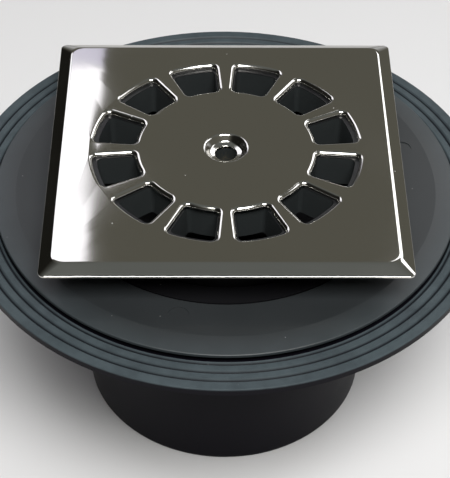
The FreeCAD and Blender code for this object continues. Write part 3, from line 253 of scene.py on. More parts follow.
class StageSettings(bpy.types.PropertyGroup):
    """Floor, lights and camera."""

    floor_size: bpy.props.FloatProperty(
        name="Floor", description="Side of the square floor", default=6.0, unit="LENGTH")
    floor_colour: bpy.props.FloatVectorProperty(
        name="Floor Colour", description="Pale floor", default=(0.74, 0.74, 0.75),
        subtype="COLOR", min=0, max=1)
    room: bpy.props.FloatVectorProperty(
        name="Room", description="Dim room light that the flat steel mirrors",
        default=(0.128, 0.124, 0.102), subtype="COLOR", min=0, max=1)
    ceiling: bpy.props.FloatVectorProperty(
        name="Ceiling", description="Room light from above",
        default=(0.15, 0.158, 0.15), subtype="COLOR", min=0, max=1)
    horizon: bpy.props.FloatVectorProperty(
        name="Horizon", description="Pale backdrop along the horizon",
        default=(0.55, 0.55, 0.56), subtype="COLOR", min=0, max=1)
    key_place: bpy.props.FloatVectorProperty(
        name="Key Place", description="Centre of the main soft light",
        default=(0.14, -0.80, 1.51), subtype="TRANSLATION", unit="LENGTH")
    key_size: bpy.props.FloatVectorProperty(
        name="Key Size", description="Width and height of the main soft light",
        size=2, default=(0.9, 0.7), unit="LENGTH")
    key_power: bpy.props.FloatProperty(
        name="Key Power", description="Power of the main soft light", default=32.0, unit="POWER")
    window_place: bpy.props.FloatVectorProperty(
        name="Window Place", description="Centre of the soft light behind at the left",
        default=(-0.46, 0.75, 0.90), subtype="TRANSLATION", unit="LENGTH")
    window_size: bpy.props.FloatVectorProperty(
        name="Window Size", description="Width and height of the soft light behind at the left",
        size=2, default=(0.44, 0.70), unit="LENGTH")
    window_power: bpy.props.FloatProperty(
        name="Window Power", description="Power of the soft light behind at the left",
        default=1.9, unit="POWER")
    pane_place: bpy.props.FloatVectorProperty(
        name="Pane Place", description="Centre of the narrow light beside it",
        default=(-0.186, 0.75, 0.94), subtype="TRANSLATION", unit="LENGTH")
    pane_size: bpy.props.FloatVectorProperty(
        name="Pane Size", description="Width and height of the narrow light beside it",
        size=2, default=(0.09, 0.54), unit="LENGTH")
    pane_power: bpy.props.FloatProperty(
        name="Pane Power", description="Power of the narrow light beside it", default=0.30,
        unit="POWER")
    sill_place: bpy.props.FloatVectorProperty(
        name="Sill Place", description="Centre of the dim light below that one",
        default=(-0.152, 0.75, 0.634), subtype="TRANSLATION", unit="LENGTH")
    sill_size: bpy.props.FloatVectorProperty(
        name="Sill Size", description="Width and height of the dim light below that one",
        size=2, default=(0.09, 0.072), unit="LENGTH")
    sill_power: bpy.props.FloatProperty(
        name="Sill Power", description="Power of the dim light below that one", default=0.02,
        unit="POWER")
    pane_turn: bpy.props.FloatProperty(
        name="Pane Turn", description="Lean of the two narrow lights",
        default=math.radians(-6.4), subtype="ANGLE")
    side_place: bpy.props.FloatVectorProperty(
        name="Side Place", description="Centre of the soft light behind at the right",
        default=(0.49, 0.75, 0.82), subtype="TRANSLATION", unit="LENGTH")
    side_size: bpy.props.FloatVectorProperty(
        name="Side Size", description="Width and height of the soft light behind at the right",
        size=2, default=(0.56, 0.54), unit="LENGTH")
    side_power: bpy.props.FloatProperty(
        name="Side Power", description="Power of the soft light behind at the right",
        default=2.4, unit="POWER")
    corner_place: bpy.props.FloatVectorProperty(
        name="Corner Place", description="Centre of the soft light high at the right",
        default=(0.834, 0.442, 1.049), subtype="TRANSLATION", unit="LENGTH")
    corner_size: bpy.props.FloatVectorProperty(
        name="Corner Size", description="Width and height of the soft light high at the right",
        size=2, default=(0.75, 0.32), unit="LENGTH")
    corner_power: bpy.props.FloatProperty(
        name="Corner Power", description="Power of the soft light high at the right",
        default=1.9, unit="POWER")
    aim: bpy.props.FloatVectorProperty(
        name="Aim", description="Point in the middle of the picture",
        default=(-0.0007, -0.0562, 0.131), subtype="TRANSLATION", unit="LENGTH")
    distance: bpy.props.FloatProperty(
        name="Distance", description="Camera to that point", default=0.6753, unit="LENGTH")
    pitch: bpy.props.FloatProperty(
        name="Pitch", description="Camera below the horizontal",
        default=math.radians(43.90), subtype="ANGLE")
    yaw: bpy.props.FloatProperty(
        name="Yaw", description="Camera towards +X", default=math.radians(0.61), subtype="ANGLE")
    roll: bpy.props.FloatProperty(
        name="Roll", description="Camera about its own axis",
        default=math.radians(0.47), subtype="ANGLE")
    lens: bpy.props.FloatProperty(
        name="Lens", description="Focal length", default=126.5, unit="CAMERA")


# Meshes

def round_corners(corners, steps):
    """The path through (x, y, radius) corners with each one rounded, without its two far ends."""
    path = []
    for before, here, after in zip(corners, corners[1:], corners[2:]):
        point = Vector(here[:2])
        way_in = (point - Vector(before[:2])).normalized()
        way_out = (Vector(after[:2]) - point).normalized()
        turn = way_in.angle_signed(way_out)
        back = here[2] * abs(math.tan(turn / 2))
        side = Vector((-way_in.y, way_in.x)) * (-1 if turn > 0 else 1)
        centre = point - way_in * back + side * here[2]
        spoke = (point - way_in * back) - centre
        for step in range(steps + 1):
            arm = spoke.copy()
            arm.rotate(Matrix.Rotation(-turn * step / steps, 2))
            path.append(centre + arm)
    return path


def slot_ring(sizes, grow):
    """Points round one slot on the +X side, moved outwards by grow."""
    corner = sizes.slot_corner
    half = sizes.slot_half_angle
    outer_reach = sizes.slot_outer - corner
    inner_reach = sizes.slot_inner + corner
    outer_turn = half - math.asin(corner / outer_reach)
    inner_turn = half - math.asin(corner / inner_reach)
    quarter = math.pi / 2
    arcs = (
        (0, 0, sizes.slot_outer, -outer_turn, outer_turn, 1, 20),
        (outer_reach, outer_turn, corner, outer_turn, half + quarter, 1, 10),
        (inner_reach, inner_turn, corner, half + quarter, inner_turn + math.pi, 1, 10),
        (0, 0, sizes.slot_inner, inner_turn, -inner_turn, -1, 14),
        (inner_reach, -inner_turn, corner, math.pi - inner_turn, 3 * quarter - half, 1, 10),
        (outer_reach, -outer_turn, corner, -quarter - half, -outer_turn, 1, 10),
    )
    ring = []
    for reach, turn, radius, start, end, sign, steps in arcs:
        centre = Vector((reach * math.cos(turn), reach * math.sin(turn)))
        for step in range(steps + 1):
            angle = start + (end - start) * step / steps
            point = centre + Vector((math.cos(angle), math.sin(angle))) * (radius + sign * grow)
            if not ring or (point - ring[-1]).length > 0.01 * MM:
                ring.append(point)
    if (ring[0] - ring[-1]).length < 0.01 * MM:
        ring.pop()
    return ring


def plate_ring(sizes, grow):
    """Points round the flat of the plate, moved outwards by grow, with rounded corners."""
    half = sizes.side / 2 - sizes.bevel_width + grow
    spread = (sizes.corner - sizes.flat_corner) * grow / sizes.bevel_width
    radius = sizes.flat_corner + spread
    ring = []
    for index in range(4):
        middle = math.radians(45 + 90 * index)
        centre = Vector((math.cos(middle), math.sin(middle))) * math.sqrt(2) * (half - radius)
        for step in range(13):
            angle = middle - math.pi / 4 + math.pi / 2 * step / 12
            ring.append(centre + Vector((math.cos(angle), math.sin(angle))) * radius)
    return ring


def circle_ring(radius, points):
    """Points round a circle."""
    turns = [math.tau * index / points for index in range(points)]
    return [Vector((math.cos(turn), math.sin(turn))) * radius for turn in turns]


def sweep(mesh, ring_at, profile, top, turn=0.0):
    """Sweep a profile of (outwards, upwards) points round a ring, and give its two end loops."""
    spin = Matrix.Rotation(turn, 2)
    loops = []
    for grow, rise in profile:
        loops.append([mesh.verts.new((*(spin @ point), top + rise)) for point in ring_at(grow)])
    count = len(loops[0])
    for low, high in zip(loops, loops[1:]):
        for index in range(count):
            after = (index + 1) % count
            mesh.faces.new((low[index], low[after], high[after], high[index]))
    ends = []
    for loop in (loops[0], loops[-1]):
        ends.append([mesh.edges.get((loop[index], loop[(index + 1) % count]))
                     for index in range(count)])
    return ends


def new_piece(name, mesh, body, material):
    """Turn a bmesh into a piece that rides on a body, with a material."""
    data = bpy.data.meshes.new(name)
    bmesh.ops.recalc_face_normals(mesh, faces=mesh.faces)
    mesh.to_mesh(data)
    mesh.free()
    piece = bpy.data.objects.new(name, data)
    bpy.context.scene.collection.objects.link(piece)
    data.shade_smooth()
    data.materials.append(material)
    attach(piece, body)
    return piece


def finish_nodes(names, material):
    """Give CAD nodes a material."""
    for name in names:
        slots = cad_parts[name].data.materials
        slots.clear()
        slots.append(material)


# Materials

def add_node(tree, kind, **values):
    """A new node with the named inputs set."""
    node = tree.nodes.new(kind)
    for name, value in values.items():
        node.inputs[name.replace("_", " ")].default_value = value
    return node


def add_math(tree, operation, second=None):
    """A new math node, with its second number set if there is one."""
    node = tree.nodes.new("ShaderNodeMath")
    node.operation = operation
    if second is not None:
        node.inputs[1].default_value = second
    return node


def add_mix(tree, first=None, second=None):
    """A new colour mix, with each colour set that is given."""
    node = tree.nodes.new("ShaderNodeMix")
    node.data_type = "RGBA"
    for socket, colour in (("A", first), ("B", second)):
        if colour is not None:
            node.inputs[socket].default_value = (*colour, 1)
    return node


def scaled(colour, factor):
    """A colour made darker or lighter."""
    return [part * factor for part in colour]


def axis_place(tree, place):
    """The parts of a place, and its distance from the vertical axis."""
    parts = tree.nodes.new("ShaderNodeSeparateXYZ")
    flat = tree.nodes.new("ShaderNodeCombineXYZ")
    radius = tree.nodes.new("ShaderNodeVectorMath")
    radius.operation = "LENGTH"
    tree.links.new(place.outputs["Object"], parts.inputs["Vector"])
    tree.links.new(parts.outputs["X"], flat.inputs["X"])
    tree.links.new(parts.outputs["Y"], flat.inputs["Y"])
    tree.links.new(flat.outputs["Vector"], radius.inputs[0])
    return parts, radius


def new_group(name, inputs, outputs):
    """An empty shader node group with float sockets, and its inner ends."""
    group = bpy.data.node_groups.new(name, "ShaderNodeTree")
    for socket, default in inputs:
        made = group.interface.new_socket(socket, in_out="INPUT", socket_type="NodeSocketFloat")
        made.default_value = default
    for socket in outputs:
        group.interface.new_socket(socket, in_out="OUTPUT", socket_type="NodeSocketFloat")
    return group, group.nodes.new("NodeGroupInput"), group.nodes.new("NodeGroupOutput")


def moulded_grain():
    """Fine spark-eroded grain, and the slow change of tone of a moulding."""
    name = "Moulded Grain"
    if name in bpy.data.node_groups:
        return bpy.data.node_groups[name]
    group, start, end = new_group(name, (("Grain Scale", 2500.0), ("Tone Scale", 18.0)),
                                  ("Height", "Tone"))
    place = group.nodes.new("ShaderNodeTexCoord")
    grain = add_node(group, "ShaderNodeTexNoise", Detail=3.0, Roughness=0.6)
    tone = add_node(group, "ShaderNodeTexNoise", Detail=4.0, Roughness=0.55)
    link = group.links.new
    link(place.outputs["Object"], grain.inputs["Vector"])
    link(place.outputs["Object"], tone.inputs["Vector"])
    link(start.outputs["Grain Scale"], grain.inputs["Scale"])
    link(start.outputs["Tone Scale"], tone.inputs["Scale"])
    link(grain.outputs["Fac"], end.inputs["Height"])
    link(tone.outputs["Fac"], end.inputs["Tone"])
    return group


def settled_dust():
    """Specks of dust on faces that look up."""
    name = "Settled Dust"
    if name in bpy.data.node_groups:
        return bpy.data.node_groups[name]
    group, start, end = new_group(
        name, (("Speck Scale", 300.0), ("Speck Size", 0.06), ("Amount", 0.5)), ("Mask",))
    place = group.nodes.new("ShaderNodeTexCoord")
    cells = add_node(group, "ShaderNodeTexVoronoi", Randomness=1.0)
    near = add_math(group, "LESS_THAN")
    chance = add_math(group, "LESS_THAN")
    chosen = group.nodes.new("ShaderNodeSeparateColor")
    facing = group.nodes.new("ShaderNodeNewGeometry")
    upward = group.nodes.new("ShaderNodeSeparateXYZ")
    level = add_node(group, "ShaderNodeMapRange", From_Min=0.6, From_Max=0.95)
    both = add_math(group, "MULTIPLY")
    mask = add_math(group, "MULTIPLY")
    link = group.links.new
    link(place.outputs["Object"], cells.inputs["Vector"])
    link(start.outputs["Speck Scale"], cells.inputs["Scale"])
    link(cells.outputs["Distance"], near.inputs[0])
    link(start.outputs["Speck Size"], near.inputs[1])
    link(cells.outputs["Color"], chosen.inputs["Color"])
    link(chosen.outputs["Red"], chance.inputs[0])
    link(start.outputs["Amount"], chance.inputs[1])
    link(facing.outputs["Normal"], upward.inputs["Vector"])
    link(upward.outputs["Z"], level.inputs["Value"])
    link(near.outputs["Value"], both.inputs[0])
    link(chance.outputs["Value"], both.inputs[1])
    link(both.outputs["Value"], mask.inputs[0])
    link(level.outputs["Result"], mask.inputs[1])
    link(mask.outputs["Value"], end.inputs["Mask"])
    return group


def painted_light_band():
    """A band of painted shade and sheen round the vertical axis, broken up in patches: above a
    level, and outside a radius.
    """
    name = "Worn Band"
    if name in bpy.data.node_groups:
        return bpy.data.node_groups[name]
    group, start, end = new_group(
        name, (("Level", 0.1), ("Fade", 0.001), ("Inner Radius", 0.09), ("Outer Radius", 0.1)),
        ("Mask",))
    place = group.nodes.new("ShaderNodeTexCoord")
    parts, radius = axis_place(group, place)
    low = add_math(group, "SUBTRACT")
    height = group.nodes.new("ShaderNodeMapRange")
    height.interpolation_type = "SMOOTHSTEP"
    outwards = group.nodes.new("ShaderNodeMapRange")
    patch_noise = add_node(group, "ShaderNodeTexNoise", Scale=90.0, Detail=5.0, Roughness=0.65)
    patchy = add_node(group, "ShaderNodeMapRange", From_Min=0.3, From_Max=0.6, To_Min=0.7)
    both = add_math(group, "MULTIPLY")
    mask = add_math(group, "MULTIPLY")
    link = group.links.new
    link(start.outputs["Level"], low.inputs[0])
    link(start.outputs["Fade"], low.inputs[1])
    link(parts.outputs["Z"], height.inputs["Value"])
    link(low.outputs["Value"], height.inputs["From Min"])
    link(start.outputs["Level"], height.inputs["From Max"])
    link(radius.outputs["Value"], outwards.inputs["Value"])
    link(start.outputs["Inner Radius"], outwards.inputs["From Min"])
    link(start.outputs["Outer Radius"], outwards.inputs["From Max"])
    link(place.outputs["Object"], patch_noise.inputs["Vector"])
    link(patch_noise.outputs["Fac"], patchy.inputs["Value"])
    link(height.outputs["Result"], both.inputs[0])
    link(outwards.outputs["Result"], both.inputs[1])
    link(both.outputs["Value"], mask.inputs[0])
    link(patchy.outputs["Result"], mask.inputs[1])
    link(mask.outputs["Value"], end.inputs["Mask"])
    return group


def pressed_dip():
    """How far the sheet dips below a level, inside a radius."""
    name = "Pressed Dip"
    if name in bpy.data.node_groups:
        return bpy.data.node_groups[name]
    group, start, end = new_group(
        name, (("Level", 0.1), ("Fall", 0.001), ("Reach", 0.05)), ("Mask",))
    place = group.nodes.new("ShaderNodeTexCoord")
    parts, radius = axis_place(group, place)
    near = add_math(group, "LESS_THAN")
    low = add_math(group, "SUBTRACT")
    depth = add_node(group, "ShaderNodeMapRange", To_Min=1.0, To_Max=0.0)
    both = add_math(group, "MULTIPLY")
    link = group.links.new
    link(radius.outputs["Value"], near.inputs[0])
    link(start.outputs["Reach"], near.inputs[1])
    link(start.outputs["Level"], low.inputs[0])
    link(start.outputs["Fall"], low.inputs[1])
    link(parts.outputs["Z"], depth.inputs["Value"])
    link(low.outputs["Value"], depth.inputs["From Min"])
    link(start.outputs["Level"], depth.inputs["From Max"])
    link(near.outputs["Value"], both.inputs[0])
    link(depth.outputs["Result"], both.inputs[1])
    link(both.outputs["Value"], end.inputs["Mask"])
    return group


def hairlines():
    """Fine straight scratches along one direction, and the slow waviness of pressed sheet."""
    name = "Hairlines"
    if name in bpy.data.node_groups:
        return bpy.data.node_groups[name]
    group, start, end = new_group(
        name, (("Line Scale", 900.0), ("Stretch", 0.02), ("Wave Scale", 25.0)), ("Height", "Wave"))
    place = group.nodes.new("ShaderNodeTexCoord")
    stretch = add_node(group, "ShaderNodeCombineXYZ", Y=1.0, Z=1.0)
    along = group.nodes.new("ShaderNodeVectorMath")
    along.operation = "MULTIPLY"
    lines = add_node(group, "ShaderNodeTexNoise", Detail=2.0, Roughness=0.5)
    wave = add_node(group, "ShaderNodeTexNoise", Detail=1.0, Roughness=0.4)
    link = group.links.new
    link(start.outputs["Stretch"], stretch.inputs["X"])
    link(place.outputs["Object"], along.inputs[0])
    link(stretch.outputs["Vector"], along.inputs[1])
    link(along.outputs["Vector"], lines.inputs["Vector"])
    link(place.outputs["Object"], wave.inputs["Vector"])
    link(start.outputs["Line Scale"], lines.inputs["Scale"])
    link(start.outputs["Wave Scale"], wave.inputs["Scale"])
    link(lines.outputs["Fac"], end.inputs["Height"])
    link(wave.outputs["Fac"], end.inputs["Wave"])
    return group


def place_group(tree, group, **values):
    """The group as a node, with the named inputs set."""
    node = tree.nodes.new("ShaderNodeGroup")
    node.node_tree = group
    for name, value in values.items():
        node.inputs[name.replace("_", " ")].default_value = value
    return node


def new_material(name):
    """An empty material with a Principled BSDF, and that shader."""
    material = bpy.data.materials.new(name)
    material.use_nodes = True
    return material, material.node_tree, material.node_tree.nodes["Principled BSDF"]


def moulded_plastic(name, colour, roughness, grain=0.12, dust=0.15, gloss=0.45):
    """Moulded plastic with a fine grain, a slight change of tone and a few specks of dust."""
    if name in bpy.data.materials:
        return bpy.data.materials[name]
    material, tree, shader = new_material(name)
    link = tree.links.new
    shader.inputs["Specular IOR Level"].default_value = gloss
    texture = place_group(tree, moulded_grain(), Grain_Scale=2500.0, Tone_Scale=18.0)
    specks = place_group(tree, settled_dust(), Speck_Scale=260.0, Speck_Size=0.05, Amount=dust)
    tone = add_mix(tree, scaled(colour, 0.86), scaled(colour, 1.16))
    dusty = add_mix(tree, second=DUST_COLOUR)
    rough = add_node(tree, "ShaderNodeMapRange", From_Min=0.3, From_Max=0.7,
                     To_Min=roughness - 0.05, To_Max=roughness + 0.06)
    bump = add_node(tree, "ShaderNodeBump", Strength=grain, Distance=0.0001)
    link(texture.outputs["Tone"], tone.inputs["Factor"])
    link(tone.outputs["Result"], dusty.inputs["A"])
    link(specks.outputs["Mask"], dusty.inputs["Factor"])
    link(dusty.outputs["Result"], shader.inputs["Base Color"])
    link(texture.outputs["Tone"], rough.inputs["Value"])
    link(rough.outputs["Result"], shader.inputs["Roughness"])
    link(texture.outputs["Height"], bump.inputs["Height"])
    link(bump.outputs["Normal"], shader.inputs["Normal"])
    return material


def mix_painted_light(material, colour, level, fade, inner, outer):
    """Mix a band of another colour into the base colour of a moulded plastic: painted shade on the
    carrier, painted sheen on the ring, painted sheen and dust on the flange.
    """
    tree = material.node_tree
    base = tree.nodes["Principled BSDF"].inputs["Base Color"]
    under = base.links[0].from_socket
    band = place_group(tree, painted_light_band(), Level=level, Fade=fade, Inner_Radius=inner,
                       Outer_Radius=outer)
    mix = add_mix(tree, second=colour)
    tree.links.new(band.outputs["Mask"], mix.inputs["Factor"])
    tree.links.new(under, mix.inputs["A"])
    tree.links.new(mix.outputs["Result"], base)


def polished_steel(colour):
    """Pressed steel with a bright polish, faint hairlines, smudges and duller drawn edges."""
    name = "Polished Steel"
    if name in bpy.data.materials:
        return bpy.data.materials[name]
    material, tree, shader = new_material(name)
    link = tree.links.new
    shader.inputs["Base Color"].default_value = (*colour, 1)
    shader.inputs["Metallic"].default_value = 1.0
    lines = place_group(tree, hairlines(), Line_Scale=900.0, Stretch=0.02, Wave_Scale=22.0)
    pressed = place_group(tree, pressed_dip(), Level=PLATE_HIGH.z, Fall=0.0004, Reach=0.06)
    specks = place_group(tree, settled_dust(), Speck_Scale=170.0, Speck_Size=0.05, Amount=0.12)
    heights = add_math(tree, "MULTIPLY_ADD", 0.003)
    smudges = add_node(tree, "ShaderNodeMapRange", From_Min=0.45, From_Max=0.75, To_Min=0.045,
                       To_Max=0.10)
    duller = add_math(tree, "MULTIPLY_ADD", 0.07)
    dusty = add_math(tree, "MULTIPLY_ADD", 0.5)
    bump = add_node(tree, "ShaderNodeBump", Strength=0.5, Distance=0.0002)
    link(lines.outputs["Height"], heights.inputs[0])
    link(lines.outputs["Wave"], heights.inputs[2])
    link(lines.outputs["Wave"], smudges.inputs["Value"])
    link(pressed.outputs["Mask"], duller.inputs[0])
    link(smudges.outputs["Result"], duller.inputs[2])
    link(specks.outputs["Mask"], dusty.inputs[0])
    link(duller.outputs["Value"], dusty.inputs[2])
    link(dusty.outputs["Value"], shader.inputs["Roughness"])
    link(heights.outputs["Value"], bump.inputs["Height"])
    link(bump.outputs["Normal"], shader.inputs["Normal"])
    return material


def soft_rubber(colour):
    """Matt black rubber with a faint bloom."""
    name = "Seal Rubber"
    if name in bpy.data.materials:
        return bpy.data.materials[name]
    material, tree, shader = new_material(name)
    link = tree.links.new
    shader.inputs["Specular IOR Level"].default_value = 0.35
    texture = place_group(tree, moulded_grain(), Grain_Scale=1500.0, Tone_Scale=60.0)
    bloom = add_mix(tree, colour, scaled(colour, 2))
    rough = add_node(tree, "ShaderNodeMapRange", To_Min=0.55, To_Max=0.85)
    bump = add_node(tree, "ShaderNodeBump", Strength=0.2, Distance=0.0001)
    link(texture.outputs["Tone"], bloom.inputs["Factor"])
    link(bloom.outputs["Result"], shader.inputs["Base Color"])
    link(texture.outputs["Tone"], rough.inputs["Value"])
    link(rough.outputs["Result"], shader.inputs["Roughness"])
    link(texture.outputs["Height"], bump.inputs["Height"])
    link(bump.outputs["Normal"], shader.inputs["Normal"])
    return material


def turned_brass(colour):
    """Brass with turning marks."""
    name = "Turned Brass"
    if name in bpy.data.materials:
        return bpy.data.materials[name]
    material, tree, shader = new_material(name)
    link = tree.links.new
    shader.inputs["Base Color"].default_value = (*colour, 1)
    shader.inputs["Metallic"].default_value = 1.0
    lines = place_group(tree, hairlines(), Line_Scale=3000.0, Stretch=0.05, Wave_Scale=200.0)
    rough = add_node(tree, "ShaderNodeMapRange", To_Min=0.2, To_Max=0.45)
    bump = add_node(tree, "ShaderNodeBump", Strength=0.2, Distance=0.0001)
    link(lines.outputs["Wave"], rough.inputs["Value"])
    link(rough.outputs["Result"], shader.inputs["Roughness"])
    link(lines.outputs["Height"], bump.inputs["Height"])
    link(bump.outputs["Normal"], shader.inputs["Normal"])
    return material


# Operators

class WASTE_OT_pressed_grate(bpy.types.Operator):
    """Press the slotted steel plate, with its bent edges, lips and dimple."""

    bl_idname = "shower_waste.pressed_grate"
    bl_label = "Pressed Grate"

    def execute(self, context):
        sizes = context.scene.waste_grate
        mesh = bmesh.new()
        top = PLATE_HIGH.z
        far = sizes.side
        sheet = sizes.sheet
        soft = sizes.soft_edge
        lip = round_corners((
            (far, 0), (0, 0, sizes.lip_round), (0, -sizes.lip_depth, soft),
            (sizes.lip_wall, -sizes.lip_depth, soft), (sizes.lip_wall, -sheet, soft),
            (far, -sheet)), 6)
        upper = []
        lower = []
        for index in range(sizes.slot_count):
            turn = math.tau * (index + 0.5) / sizes.slot_count
            ends = sweep(mesh, lambda grow: slot_ring(sizes, grow), lip, top, turn)
            upper += ends[0]
            lower += ends[1]
        hole = sizes.dimple_hole - sizes.dimple
        foot = sizes.dimple_bend - sizes.dimple
        fall = sizes.dimple_depth
        dimple = round_corners((
            (far, 0), (0, 0, sizes.dimple_round), (foot, -sizes.dimple_side, sizes.dimple_round),
            (hole, -fall, soft), (hole, -fall - sheet, soft),
            (foot + 0.3 * sheet, -fall - sheet, soft), (0.7 * sheet, -sheet, soft),
            (far, -sheet)), 8)
        ends = sweep(mesh, lambda grow: circle_ring(sizes.dimple + grow, 96), dimple, top)
        upper += ends[0]
        lower += ends[1]
        slope = sizes.bevel_drop / sizes.bevel_width
        edge_foot = -sizes.bevel_drop - sheet / math.cos(math.atan(slope))
        inner_run = (-sheet - edge_foot) / slope
        edge = round_corners((
            (-far, 0), (0, 0, sizes.bend), (sizes.bevel_width, -sizes.bevel_drop, soft),
            (sizes.bevel_width, edge_foot, sizes.edge_round),
            (sizes.bevel_width - inner_run, -sheet, soft), (-far, -sheet)), 8)
        ends = sweep(mesh, lambda grow: plate_ring(sizes, grow), edge, top)
        upper += ends[0]
        lower += ends[1]
        for edges in (upper, lower):
            filled = bmesh.ops.triangle_fill(mesh, use_beauty=True, use_dissolve=False,
                                             edges=edges)
            if not filled["geom"]:
                raise RuntimeError("the flat of the grate could not be filled")
        material = polished_steel(context.scene.waste_finishes.steel)
        piece = new_piece("pressed_plate", mesh, "riser", material)
        weighted = piece.modifiers.new("flat_faces_lead", "WEIGHTED_NORMAL")
        weighted.mode = "FACE_AREA"
        weighted.weight = 50
        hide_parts("grate_plate")
        return {"FINISHED"}


class WASTE_OT_threaded_bush(bpy.types.Operator):
    """Turn the brass bush, with a cut thread, a waist and a knurl."""

    bl_idname = "shower_waste.threaded_bush"
    bl_label = "Threaded Bush"

    def execute(self, context):
        sizes = context.scene.waste_bush
        mesh = bmesh.new()
        low = BUSH_LOW.z
        high = BUSH_HIGH.z
        around = 72
        rows = 80

        def bore_point(turn, height):
            phase = (height - low) / sizes.pitch - turn / math.tau
            cut = 1 - abs(2 * (phase - math.floor(phase)) - 1)
            radius = sizes.bore + sizes.thread_depth * cut
            return radius * math.cos(turn), radius * math.sin(turn), height

        def wall_cut(kind, step):
            if kind == "knurl":
                return sizes.knurl * (step % 2)
            return sizes.waist if kind == "waist" else sizes.chamfer

        grid = []
        for row in range(rows + 1):
            height = low + (high - low) * row / rows
            grid.append([mesh.verts.new(bore_point(math.tau * step / around, height))
                         for step in range(around)])
        waist_start = (high - low) * sizes.waist_start
        levels = ((low, "chamfer"), (low + sizes.chamfer, "knurl"), (low + waist_start, "knurl"),
                  (low + waist_start + sizes.waist, "waist"),
                  (high - waist_start - sizes.waist, "waist"), (high - waist_start, "knurl"),
                  (high - sizes.chamfer, "knurl"), (high, "chamfer"))
        outside = []
        for height, kind in levels:
            loop = []
            for step in range(around):
                turn = math.tau * step / around
                radius = sizes.radius - wall_cut(kind, step)
                point = (radius * math.cos(turn), radius * math.sin(turn), height)
                loop.append(mesh.verts.new(point))
            outside.append(loop)
        loops = [*grid, *reversed(outside)]
        for here, there in zip(loops, loops[1:] + loops[:1]):
            for step in range(around):
                after = (step + 1) % around
                mesh.faces.new((here[step], here[after], there[after], there[step]))
        material = turned_brass(context.scene.waste_finishes.brass)
        piece = new_piece("threaded_bush", mesh, "riser", material)
        piece.data.set_sharp_from_angle(angle=math.radians(35))
        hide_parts("thread_insert")
        return {"FINISHED"}


class WASTE_OT_black_mouldings(bpy.types.Operator):
    """Finish the carrier, the riser and the swivel collar."""

    bl_idname = "shower_waste.black_mouldings"
    bl_label = "Black Mouldings"

    def execute(self, context):
        finishes = context.scene.waste_finishes
        bands = context.scene.waste_bands
        material = moulded_plastic("Carrier Plastic", finishes.carrier, 0.36)
        # Painted shade: the carrier's top face, in the gap under the plate, is darkened to near
        # black.
        mix_painted_light(material, finishes.black, CARRIER_HIGH.z - bands.crest, bands.carrier_fade, 0.0,
             bands.carrier_end)
        finish_nodes(("grate_carrier",), material)
        material = moulded_plastic("Black Plastic", finishes.black, 0.36, gloss=0.2)
        finish_nodes(("riser", "swivel_collar"), material)
        return {"FINISHED"}


class WASTE_OT_clamp_ring(bpy.types.Operator):
    """Finish the clamp ring."""

    bl_idname = "shower_waste.clamp_ring"
    bl_label = "Clamp Ring"

    def execute(self, context):
        finishes = context.scene.waste_finishes
        bands = context.scene.waste_bands
        material = moulded_plastic("Grey Plastic", finishes.ring, 0.42)
        # Painted sheen: the clamp ring's top grows lighter outwards over its outer band, broken up
        # in patches.
        mix_painted_light(material, finishes.worn, bands.ring_level, bands.ring_fade, bands.ring_start,
             bands.ring_end)
        finish_nodes(("clamp_ring",), material)
        return {"FINISHED"}


class WASTE_OT_waste_body(bpy.types.Operator):
    """Finish the body with its flange, pot and outlet."""

    bl_idname = "shower_waste.waste_body"
    bl_label = "Waste Body"

    def execute(self, context):
        finishes = context.scene.waste_finishes
        bands = context.scene.waste_bands
        material = moulded_plastic("Dark Grey Plastic", finishes.body, 0.34, gloss=0.06)
        # Painted sheen, partly dust: the crests of the flange's outer ridges are lightened in
        # patches.
        mix_painted_light(material, finishes.worn, BODY_HIGH.z - bands.crest, bands.flange_fade,
             bands.flange_start, bands.flange_end)
        finish_nodes(("waste_body",), material)
        return {"FINISHED"}


class WASTE_OT_trap(bpy.types.Operator):
    """Finish the lift-out trap and its seat ring."""

    bl_idname = "shower_waste.trap"
    bl_label = "Trap"

    def execute(self, context):
        finishes = context.scene.waste_finishes
        material = moulded_plastic("Trap Plastic", finishes.trap, 0.4, dust=0.0)
        finish_nodes(("trap_seat", "trap_funnel", "trap_cup"), material)
        return {"FINISHED"}


class WASTE_OT_seals(bpy.types.Operator):
    """Finish the rubber seals and gaskets."""

    bl_idname = "shower_waste.seals"
    bl_label = "Seals"

    def execute(self, context):
        material = soft_rubber(context.scene.waste_finishes.rubber)
        finish_nodes(("riser_seal", "collar_o_ring", "trap_o_ring", "neck_gasket",
                      "membrane_gasket"), material)
        return {"FINISHED"}


def add_soft_light(stage, name, colour, target=None, turn=0.0):
    """A rectangular soft light of the stage, turned to a target or else straight ahead."""
    place = getattr(stage, f"{name}_place")
    lamp = bpy.data.lights.new(f"{name}_light", "AREA")
    lamp.shape = "RECTANGLE"
    lamp.size, lamp.size_y = getattr(stage, f"{name}_size")
    lamp.energy = getattr(stage, f"{name}_power")
    lamp.color = colour
    light = bpy.data.objects.new(f"{name}_light", lamp)
    bpy.context.scene.collection.objects.link(light)
    way = Vector(target or (place[0], 0.0, place[2])) - Vector(place)
    look = way.to_track_quat("-Z", "Y").to_matrix().to_4x4() @ Matrix.Rotation(turn, 4, "Z")
    light.matrix_world = Matrix.Translation(place) @ look
    light.visible_camera = False


